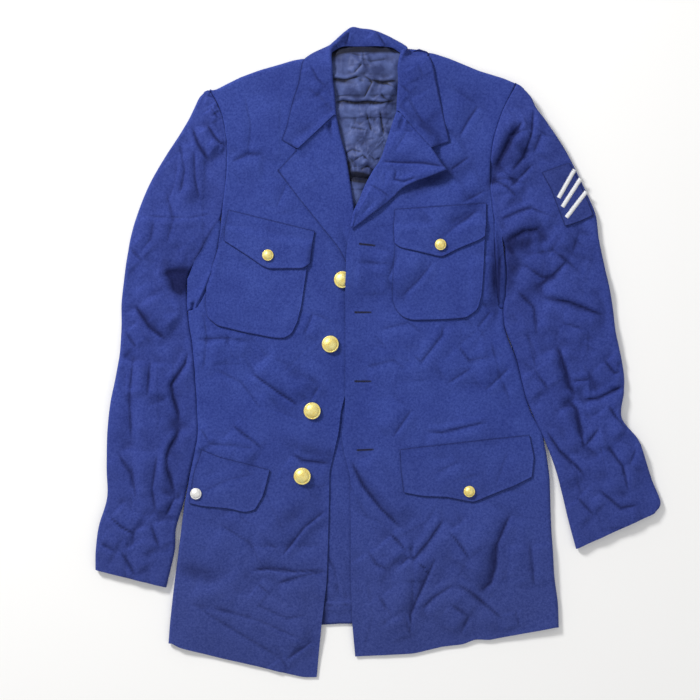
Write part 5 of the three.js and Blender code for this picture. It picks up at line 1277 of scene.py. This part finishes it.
def collar():
    surface = collar_surface()
    x, y = surface[..., 0], surface[..., 1]
    surface[..., 2] += folded(COLLAR_FOLDS, x, y) * step_up((y - 285) / 20)
    # painted shade: the whole collar a little darker, more in its creases, with a painted shadow line along
    # its edges
    shade = 0.16 + 0.5 * hollows(COLLAR_FOLDS, x, y) + RIM * rim_shade(surface)
    for k, side in ((0, "left"), (-1, "right")):
        shade = np.maximum(shade, end_shade(surface, k, side))
    leaf_lifted(surface, ["lapel_left_cloth", "lapel_right_cloth"], CLOTH, ROLL_POINTS + STAND_POINTS)
    return panel("collar_cloth", surface, CLOTH, shade)

pieces["lapel_left"] = lapel("left", ["front_left_cloth"])
pieces["front_right"] = front("right", BACKS + ["front_left_cloth", "lapel_left_cloth"])
pieces["side_panel_right"] = side_panel("right")
pieces["lapel_right"] = lapel("right", ["front_right_cloth"])
pieces["collar"] = collar()

# %% [markdown]
# ## Pockets, flaps and the sleeve patch
# A patch pocket is turned in at its edges and sewn flat. Its grid has closer points along the
# rim, where the cloth turns down, and it is felt for on everything below it, the flap on the
# pocket included.

# %% How a piece is laid on others
MADE = {"front_left": "front_left_cloth", "front_right": "front_right_cloth",
        "sleeve_top_right": "sleeve_right_cloth", "pocket_left": "pocket_left_cloth",
        "pocket_right": "pocket_right_cloth"}

RIM_ROUND, RIM_DROP = 1.6, 1.1      # how far in the rim rounds over, and how far down
PADDED = 0.5        # how much higher the middle lies than the rim
def laid_surface(name):
    cut = LAID[name]
    below = [MADE[n] for n in cut["below"]]
    wide, tall = length(cut["bottom"]), length(cut["left"])
    u, v = (bordered(span, 2.2, (0, 0.5, 1.2, 2.2)) for span in (wide, tall))
    plan = stretched(eased(cut["top"], u, 2), eased(cut["bottom"], u, 3), eased(cut["left"], v, 3),
                     eased(cut["right"], v, 3), u, v)
    x, y = plan[..., 0], plan[..., 1]
    z = calmed(filled(highest(below, x, y)), 3)
    rim = np.minimum((np.minimum(v, 1 - v) * tall)[:, None], (np.minimum(u, 1 - u) * wide)[None])
    drop = 1 - np.sqrt(1 - (1 - np.clip(rim / RIM_ROUND, 0, 1)) ** 2)
    z = z + 0.35 + cut["cloth"] + PADDED * step_up(rim / 12) - RIM_DROP * drop
    surface = lifted(np.dstack([plan, z]), below, cut["cloth"], air=0.2, passes=3)
    # painted shadow line along the rim, and painted shade of the creases of the front below
    shade = 0.85 * np.exp(-(rim / 1.0) ** 2)
    side = {"front_left": "left", "front_right": "right"}.get(cut["below"][0])
    if side:
        shade = shade + 0.4 * hollows(FOLDS[side], x, y)
    return surface, shade

# %% Pockets, flaps and patch laid
for name in LAID:
    surface, shade = laid_surface(name)
    pieces[name] = panel(name + "_cloth", surface, LAID[name]["cloth"], shade)

# %% [markdown]
# ## Buttons
# A domed uniform button is stamped from sheet brass: a flat back with a shank, a rolled rim and
# a domed face. One disc is extruded ring by ring along its profile for each size, and copies
# are seated where the frame holds its own buttons.

# %% Button by its profile
PROFILE = [     # shares of the radius and of the height, from the flat back over the rim to the dome
    (0.30, 0.0), (0.30, 0.07), (0.90, 0.09), (0.98, 0.14), (1.0, 0.24), (0.985, 0.36),
    (0.945, 0.44), (0.90, 0.47), (0.865, 0.45), (0.84, 0.41), (0.82, 0.45), (0.76, 0.56),
    (0.66, 0.69), (0.54, 0.80), (0.40, 0.90), (0.26, 0.96), (0.12, 0.99)]
def button(name, radius, height):
    """Circle, extruded and resized ring by ring; millimetres, centred on the origin."""
    bpy.ops.object.select_all(action="DESELECT")
    bpy.ops.mesh.primitive_circle_add(vertices=48, radius=PROFILE[0][0] * radius * MM, fill_type="NGON")
    piece = bpy.context.object
    piece.name = piece.data.name = name
    bpy.ops.object.mode_set(mode="EDIT")
    bpy.ops.mesh.select_all(action="SELECT")
    for (r0, z0), (r1, z1) in zip(PROFILE, PROFILE[1:]):
        bpy.ops.mesh.extrude_region_move(TRANSFORM_OT_translate={"value": (0, 0, (z1 - z0) * height * MM)})
        scale = r1 / r0
        bpy.ops.transform.resize(value=(scale, scale, 1), center_override=(0, 0, 0))
    bpy.ops.mesh.poke(offset=0.0)
    bpy.ops.mesh.select_all(action="SELECT")
    bpy.ops.mesh.remove_doubles(threshold=0.000001)
    bpy.ops.mesh.normals_make_consistent(inside=False)
    bpy.ops.object.mode_set(mode="OBJECT")
    bpy.ops.object.shade_smooth_by_angle(angle=math.radians(60))
    return piece

# %% Buttons seated
GAP = 0.3       # air under a button
LARGE = 9       # radius from which a button counts as large
UNDER_BUTTONS = ["front_left_cloth", "flap_upper_left_cloth", "flap_upper_right_cloth",
                 "flap_lower_left_cloth", "flap_lower_right_cloth"]
models = {}
for node in sorted(n for n in frame["nodes"] if n.startswith("button_")):
    low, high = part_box(node)
    radius, height = (high.x - low.x) / 2 / MM, (high.z - low.z) / MM
    kind = "large" if radius > LARGE else "small"
    if kind not in models:
        models[kind] = button("button_model_" + kind, radius, height)
    piece = models[kind].copy()
    piece.data = models[kind].data.copy()
    piece.name = piece.data.name = node + "_brass"
    scene.collection.objects.link(piece)
    x, y = (low.x + high.x) / 2, (low.y + high.y) / 2
    top = highest(UNDER_BUTTONS, [x / MM], [y / MM])[0]
    lift = low.z if np.isnan(top) else max(low.z, (top + GAP) * MM)
    piece.data.transform(Matrix.Translation((x, y, lift)))
    pieces[node] = piece
for model in models.values():
    bpy.data.objects.remove(model)
print("buttons:", sum(n.startswith("button_") for n in pieces))

# %% [markdown]
# ## Sewn work
# Buttonholes are cut slits whose edges are whipped with thread; the back's hem, the patch
# pockets and the flaps show a line of stitches. A stitch is one small rounded bead, pulled long,
# copied along a line and turned with it. The beads of one line are one piece.

# %% Bead and line of beads
bpy.ops.object.select_all(action="DESELECT")
bpy.ops.mesh.primitive_ico_sphere_add(subdivisions=1, radius=0.5)
bead = bpy.context.object
bead_points = np.array([v.co[:] for v in bead.data.vertices])
bead_faces = [tuple(p.vertices) for p in bead.data.polygons]
bpy.data.objects.remove(bead)

def stitches(name, places, directions, size):
    """Beads of size (long, wide, high) at points, long along the given plan directions."""
    points, faces = [], []
    for at, way in zip(places, directions):
        way = np.r_[np.array(way[:2]) / np.hypot(*way[:2]), 0]
        side = np.array([-way[1], way[0], 0])
        start = len(points) * len(bead_points)
        long, wide, high = (bead_points * size).T
        points.append(at + np.outer(long, way) + np.outer(wide, side) + np.outer(high, UP))
        faces += [tuple(start + k for k in face) for face in bead_faces]
    mesh = bpy.data.meshes.new(name)
    mesh.from_pydata((np.vstack(points) * MM).tolist(), [], faces)
    mesh.polygons.foreach_set("use_smooth", [True] * len(mesh.polygons))
    piece = bpy.data.objects.new(name, mesh)
    scene.collection.objects.link(piece)
    print(f"{name}: {len(places)} stitches")
    return piece

def on(names, path, sink=0.1):
    """Points of a plan line, laid on the highest of some pieces."""
    z = highest(names, path[:, 0], path[:, 1])
    return np.c_[path, filled(z[None])[0] - sink]

def along_line(ends, t):
    """Points of a straight line at fractions of it, and its left-hand direction."""
    a, b = np.array(ends, float)
    way = (b - a) / np.linalg.norm(b - a)
    return a + (b - a) * t[:, None], np.array([-way[1], way[0]])

# %% Buttonholes
HOLES = [[(-25, 143), (-4, 141)], [(-31, 53), (-9, 53)], [(-31, -38), (-9, -38)], [(-28, -129), (-6, -128)]]
PURLS = 26      # whipped stitches on each edge
def half_width(t):
    """Half the opening of a buttonhole along its length: a slit with a rounder eye at its start."""
    t = t[:, None]
    eye = 0.45 + 0.75 * np.exp(-((t - 0.06) / 0.1) ** 2)
    return eye * np.sqrt(np.clip(np.sin(math.pi * np.clip(t, 0.02, 0.98)), 0, 1))

extras = {}
for k, hole in enumerate(HOLES, 1):
    t = even(24)
    middle, aside = along_line(hole, t)
    u = np.linspace(-1, 1, 5)
    grid = middle[:, None] + aside * (half_width(t)[:, None] * u[None, :, None])
    z = felt("front_right_cloth", grid[..., 0], grid[..., 1])
    # a thin near-black sheet in the slit: painted shadow of the opening
    slit = panel(f"buttonhole_slit_shadow_{k}", np.dstack([grid, calmed(filled(z), 2) + 0.12]), 0.1)
    t = even(PURLS - 1)
    middle, aside = along_line(hole, t)
    rims = np.vstack([middle + aside * sign * (half_width(t) + 0.55) for sign in (-1, 1)])
    purl = stitches(f"buttonhole_thread_{k}", on(["front_right_cloth"], rims, -0.05),
                    [aside] * len(rims), (1.3, 0.8, 0.45))
    extras[f"slit_{k}"], extras[f"purl_{k}"] = slit, purl

# %% Machine stitches
EDGE = 2.6      # from the edge of a pocket or flap to its stitches
def seam_line(name, path, below, inset, pitch=3.2, size=(1.9, 0.42, 0.28)):
    """A line of machine stitches, inset from a drafted line."""
    line = beside(eased(path, even(max(6, int(length(path) / pitch))), 3), inset)
    return stitches(name, on(below, line), np.gradient(line, axis=0), size)

def stitched(name, thread_name):
    """Stitches along the left, lower and right edge of a laid piece."""
    cut = LAID[name]
    rim = cut["left"] + cut["bottom"][1:] + cut["right"][::-1][1:]
    extras[thread_name] = seam_line(thread_name, rim, [name + "_cloth"], EDGE)

for side in SIDES:
    stitched("pocket_" + side, "pocket_thread_" + side)
for name in LAID:
    if name.startswith("flap"):
        stitched(name, name + "_thread")
HEM = [(-71, -337), (-36, -336.5)]
extras["hem_thread"] = seam_line("hem_thread", HEM, BACKS, 0, 2.6)

# %% [markdown]
# ## Bars of the sleeve patch
# The patch carries plain slanted bars in white satin stitch: threads laid side by side across
# each bar. The same bead, pulled long, is laid across the bar a thread's width at a time.

# %% Embroidered bars
BARS = [[(238, 204), (258.5, 240.5)], [(243, 192), (266.5, 228.5)], [(248, 178), (274, 211.5)]]
BAR_THREAD, BAR_PITCH = (7.0, 1.1, 1.0), 0.75
for k, bar in enumerate(BARS, 1):
    count = int(math.dist(*bar) / BAR_PITCH)
    middle, aside = along_line(bar, np.linspace(0, 1, count))
    draw = np.random.RandomState(50 + k)
    middle = middle + aside * draw.uniform(-0.15, 0.15, (count, 1))
    extras[f"bar_{k}"] = stitches(f"sleeve_bar_{k}", on(["sleeve_patch_cloth"], middle, -0.15),
                                  [aside] * count, BAR_THREAD)

# %% [markdown]
# ## Wool, satin and brass
# Uniform serge is a fine diagonal weave with a soft nap: matt, a little lighter where it is seen
# at a slant, mottled where the nap lies differently. Its colour is painted darker in the hollows
# of seams and folds, as shade. Satin shows the same folds by its shine, and its creases get the
# same painted shade. Each finish is made of noise and waves at the size of the real threads.

# %% Node helpers
def fed(tree, made, inputs):
    """Links sockets to the inputs of a node, and sets plain values on them."""
    for key, value in inputs.items():
        if isinstance(value, bpy.types.NodeSocket):
            tree.links.new(value, made.inputs[key])
        else:
            made.inputs[key].default_value = value

def node(tree, kind, inputs, output, **settings):
    """The output of a new node."""
    made = tree.nodes.new(kind)
    for key, value in settings.items():
        setattr(made, key, value)
    fed(tree, made, inputs)
    return made.outputs[output]

def material(name):
    made = bpy.data.materials.new(name)
    made.use_nodes = True
    tree = made.node_tree
    return made, tree, tree.nodes["Principled BSDF"], node(tree, "ShaderNodeTexCoord", {}, "Object")

def linear(red, green, blue):
    """Scene colour of a colour given on the 0 to 255 scale of a screen."""
    return tuple((c / 255 / 12.92) if c <= 10 else (((c / 255) + 0.055) / 1.055) ** 2.4
                 for c in (red, green, blue)) + (1,)

def mixed(tree, factor, a, b, blend="MIX"):
    """One colour where the factor is 0, the other where it is 1."""
    return node(tree, "ShaderNodeMix", {"Factor": factor, "A": a, "B": b}, "Result",
                data_type="RGBA", blend_type=blend)

def multiplied(tree, colour, factor, low):
    """A colour darkened to low where the factor is 1."""
    return mixed(tree, factor, colour, low, "MULTIPLY")

def span(tree, value, a, b, c=0.0, d=1.0):
    """A value whose range from a to b becomes the range from c to d."""
    return node(tree, "ShaderNodeMapRange",
                {"Value": value, "From Min": a, "From Max": b, "To Min": c, "To Max": d}, "Result")

def noise(tree, place, scale, detail=3.0, rough=0.55):
    return node(tree, "ShaderNodeTexNoise",
                {"Vector": place, "Scale": scale, "Detail": detail, "Roughness": rough}, "Fac")

def relief(tree, height, strength, distance, below=None):
    """A bump, on top of another one where that is given."""
    inputs = {"Height": height, "Strength": strength, "Distance": distance}
    return node(tree, "ShaderNodeBump", inputs | ({"Normal": below} if below else {}), "Normal")

def laid_and_painted_shade(tree):
    """The weave's own map of a piece, and the painted shade of each point in its folds, seams and hollows."""
    return (node(tree, "ShaderNodeUVMap", {}, "UV", uv_map="UVMap"),
            node(tree, "ShaderNodeAttribute", {}, "Fac", attribute_name="depth"))

# %% Wool
def wool(name, light, dark, skirt, weave_turn=0.9):
    """Mottled wool with a nap; skirt is the colour it is mixed into lower down, towards the hem."""
    made, tree, shader, place = material(name)
    laid, depth = laid_and_painted_shade(tree)
    mottle = noise(tree, place, 26, 4, 0.6)
    nap = noise(tree, place, 360, 3, 0.7)
    fleck = noise(tree, place, 1300, 2, 0.6)
    colour = mixed(tree, span(tree, mottle, 0.3, 0.7), dark, light)
    height = node(tree, "ShaderNodeSeparateXYZ", {"Vector": place}, "Y")
    colour = mixed(tree, span(tree, height, -0.08, -0.34), colour, skirt)
    colour = multiplied(tree, colour, span(tree, nap, 0.35, 0.68), (0.52, 0.57, 0.71, 1))
    colour = multiplied(tree, colour, span(tree, fleck, 0.3, 0.7), (0.66, 0.7, 0.81, 1))
    # painted shade: the colour is darkened where the depth attribute holds painted shade
    colour = multiplied(tree, colour, span(tree, depth, 0.05, 1.0), (0.22, 0.22, 0.3, 1))
    weave = node(tree, "ShaderNodeMapping", {"Vector": laid, "Rotation": (0, 0, weave_turn)}, "Vector")
    rib = node(tree, "ShaderNodeTexWave", {"Vector": weave, "Scale": 260.0, "Distortion": 1.2,
                                           "Detail": 1.0, "Detail Scale": 2.0}, "Fac")
    ribbed = relief(tree, rib, 0.12, 0.0003)
    fed(tree, shader, {"Base Color": colour, "Normal": relief(tree, nap, 0.25, 0.0006, ribbed),
                       "Roughness": span(tree, nap, 0.3, 0.7, 0.82, 0.97),
                       "Specular IOR Level": 0.18, "Sheen Weight": 0.22, "Sheen Roughness": 0.45,
                       "Sheen Tint": linear(120, 135, 215)})
    return made

wool_body = wool("navy_wool", linear(66, 84, 161), linear(56, 72, 147), linear(67, 80, 145))
wool_sleeve = wool("navy_wool_sleeve", linear(67, 83, 160), linear(56, 70, 141), linear(64, 77, 144), 0.6)
wool_patch = wool("navy_wool_patch", linear(64, 78, 148), linear(53, 66, 130), linear(59, 72, 136), 0.3)

# %% Satin
satin, tree, shader, place = material("slate_satin")
laid, depth = laid_and_painted_shade(tree)
cloud = span(tree, noise(tree, place, 60, 4), 0.35, 0.65)
colour = mixed(tree, cloud, linear(48, 59, 106), linear(80, 95, 150))
threads = node(tree, "ShaderNodeTexWave", {"Vector": laid, "Scale": 700.0, "Distortion": 0.6}, "Fac")
threaded = relief(tree, threads, 0.08, 0.0002)
# painted shade: the satin's colour is darkened almost to black in its creases and shaded places
fed(tree, shader, {"Base Color": multiplied(tree, colour, span(tree, depth, 0.02, 0.8), (0.08, 0.08, 0.1, 1)),
                   "Normal": relief(tree, noise(tree, place, 140, 3), 0.3, 0.0012, threaded),
                   "Roughness": span(tree, noise(tree, place, 90, 2), 0.3, 0.7, 0.5, 0.66),
                   "Specular IOR Level": 0.22, "Sheen Weight": 0.05})

# %% Thread
def thread(name, light, dark, rough):
    made, tree, shader, place = material(name)
    strands = noise(tree, place, 1500, 2)
    fed(tree, shader, {"Base Color": mixed(tree, span(tree, strands, 0.3, 0.7), dark, light),
                       "Normal": relief(tree, strands, 0.4, 0.0002),
                       "Roughness": span(tree, strands, 0.3, 0.7, rough, rough + 0.15)})
    return made

thread_blue = thread("blue_thread", linear(52, 62, 130), linear(36, 43, 98), 0.6)
thread_dark = thread("dark_thread", linear(34, 38, 84), linear(20, 22, 50), 0.6)
thread_white = thread("white_thread", linear(244, 244, 244), linear(214, 216, 222), 0.5)
# painted shadow, for the sheet in each buttonhole slit
slit_shadow_paint = thread("slit_shadow", linear(14, 15, 30), linear(7, 7, 16), 0.9)

# %% Brass
def metal(name, dark, light, worn_tint):
    """Stamped metal, grained like cloth and dulled in the grain."""
    made, tree, shader, place = material(name)
    grain = node(tree, "ShaderNodeTexVoronoi", {"Vector": place, "Scale": 900.0}, "Distance")
    cloud = noise(tree, place, 160, 3)
    colour = mixed(tree, span(tree, cloud, 0.35, 0.65), dark, light)
    fed(tree, shader, {"Base Color": multiplied(tree, colour, span(tree, grain, 0.35, 0.75), worn_tint),
                       "Normal": relief(tree, grain, 0.45, 0.0004),
                       "Roughness": span(tree, cloud, 0.3, 0.7, 0.3, 0.45), "Metallic": 0.5})
    return made

brass = metal("gilt_brass", linear(255, 232, 138), linear(255, 246, 172), (0.88, 0.82, 0.64, 1))
bare_metal = metal("rubbed_white_metal", linear(246, 246, 244), linear(255, 255, 255), (0.9, 0.88, 0.84, 1))
print("finishes:", len(bpy.data.materials))

# %% [markdown]
# ## What each piece is made of, and what it stands for
# Every piece rides on the one body of the part and is given its finish here. A cloth panel
# stands for its plain solid, which stays hidden and carries the collisions.

# %% Dress each piece
RUBBED = -0.2       # the button that lies beyond this x has lost its gilding
def dress(piece, finish, slot, *nodes):
    piece.data.materials.clear()
    piece.data.materials.append(finish)
    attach(piece, "root")
    if nodes:
        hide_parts(*nodes)

for name, piece in pieces.items():
    if name.startswith("button"):
        low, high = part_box(name)
        rubbed = (low.x + high.x) / 2 < RUBBED
        dress(piece, bare_metal if rubbed else brass, "button", name)
    elif name == "lining":
        dress(piece, satin, "lining", name)
    elif name == "sleeve_patch":
        dress(piece, wool_patch, "patch", name)
    else:
        dress(piece, wool_sleeve if name.startswith("sleeve") else wool_body, "wool", name)

SEWN = {"slit": (slit_shadow_paint, "wool"), "purl": (thread_dark, "wool"), "bar": (thread_white, "patch")}
for name, piece in extras.items():
    finish, slot = SEWN.get(name.split("_")[0], (thread_blue, "wool"))
    dress(piece, finish, slot)

# %% [markdown]
# ## Floor, light and camera
# The jacket lies on a plain pale floor under soft daylight that comes a little from the upper
# left, so folds that face down and to the right are the darker ones. The camera looks straight
# down from two metres with a long lens, which keeps the outline free of distortion.

# %% Floor
bpy.ops.object.select_all(action="DESELECT")
bpy.ops.mesh.primitive_plane_add(size=8, location=(0, 0, -0.0004))
floor = bpy.context.object
floor.name = "floor"
paper, tree, shader, _ = material("pale_paper")
fed(tree, shader, {"Base Color": (0.95, 0.95, 0.95, 1), "Roughness": 0.95})
floor.data.materials.append(paper)

# %% Light
def soft_light(name, place, size, power):
    """A round lamp that faces the middle of the jacket."""
    lamp = bpy.data.lights.new(name, "AREA")
    lamp.shape, lamp.size, lamp.energy = "DISK", size, power
    lamp.color = (1.0, 0.99, 0.97)
    holder = bpy.data.objects.new(name, lamp)
    scene.collection.objects.link(holder)
    holder.location = place
    holder.rotation_euler = (-Vector(place)).to_track_quat("-Z", "Y").to_euler()

soft_light("window", (-1.7, 1.9, 1.7), 0.7, 84)
soft_light("fill", (1.6, -1.2, 2.4), 2.4, 10)
world = bpy.data.worlds.new("studio")
world.use_nodes = True
fed(world.node_tree, world.node_tree.nodes["Background"], {"Color": (1, 1, 1, 1), "Strength": 0.5})
scene.world = world
scene.view_settings.view_transform = "Standard"

# %% Camera
OVERHEAD, LENS = (-0.03696, 0.0033, 2.05), 79.6
bpy.ops.object.camera_add(location=OVERHEAD, rotation=(0, 0, 0))
camera = bpy.context.object
camera.data.lens, camera.data.sensor_width = LENS, 36
camera.data.clip_end = 50
scene.camera = camera
print("camera at", OVERHEAD, "with a lens of", LENS, "mm")
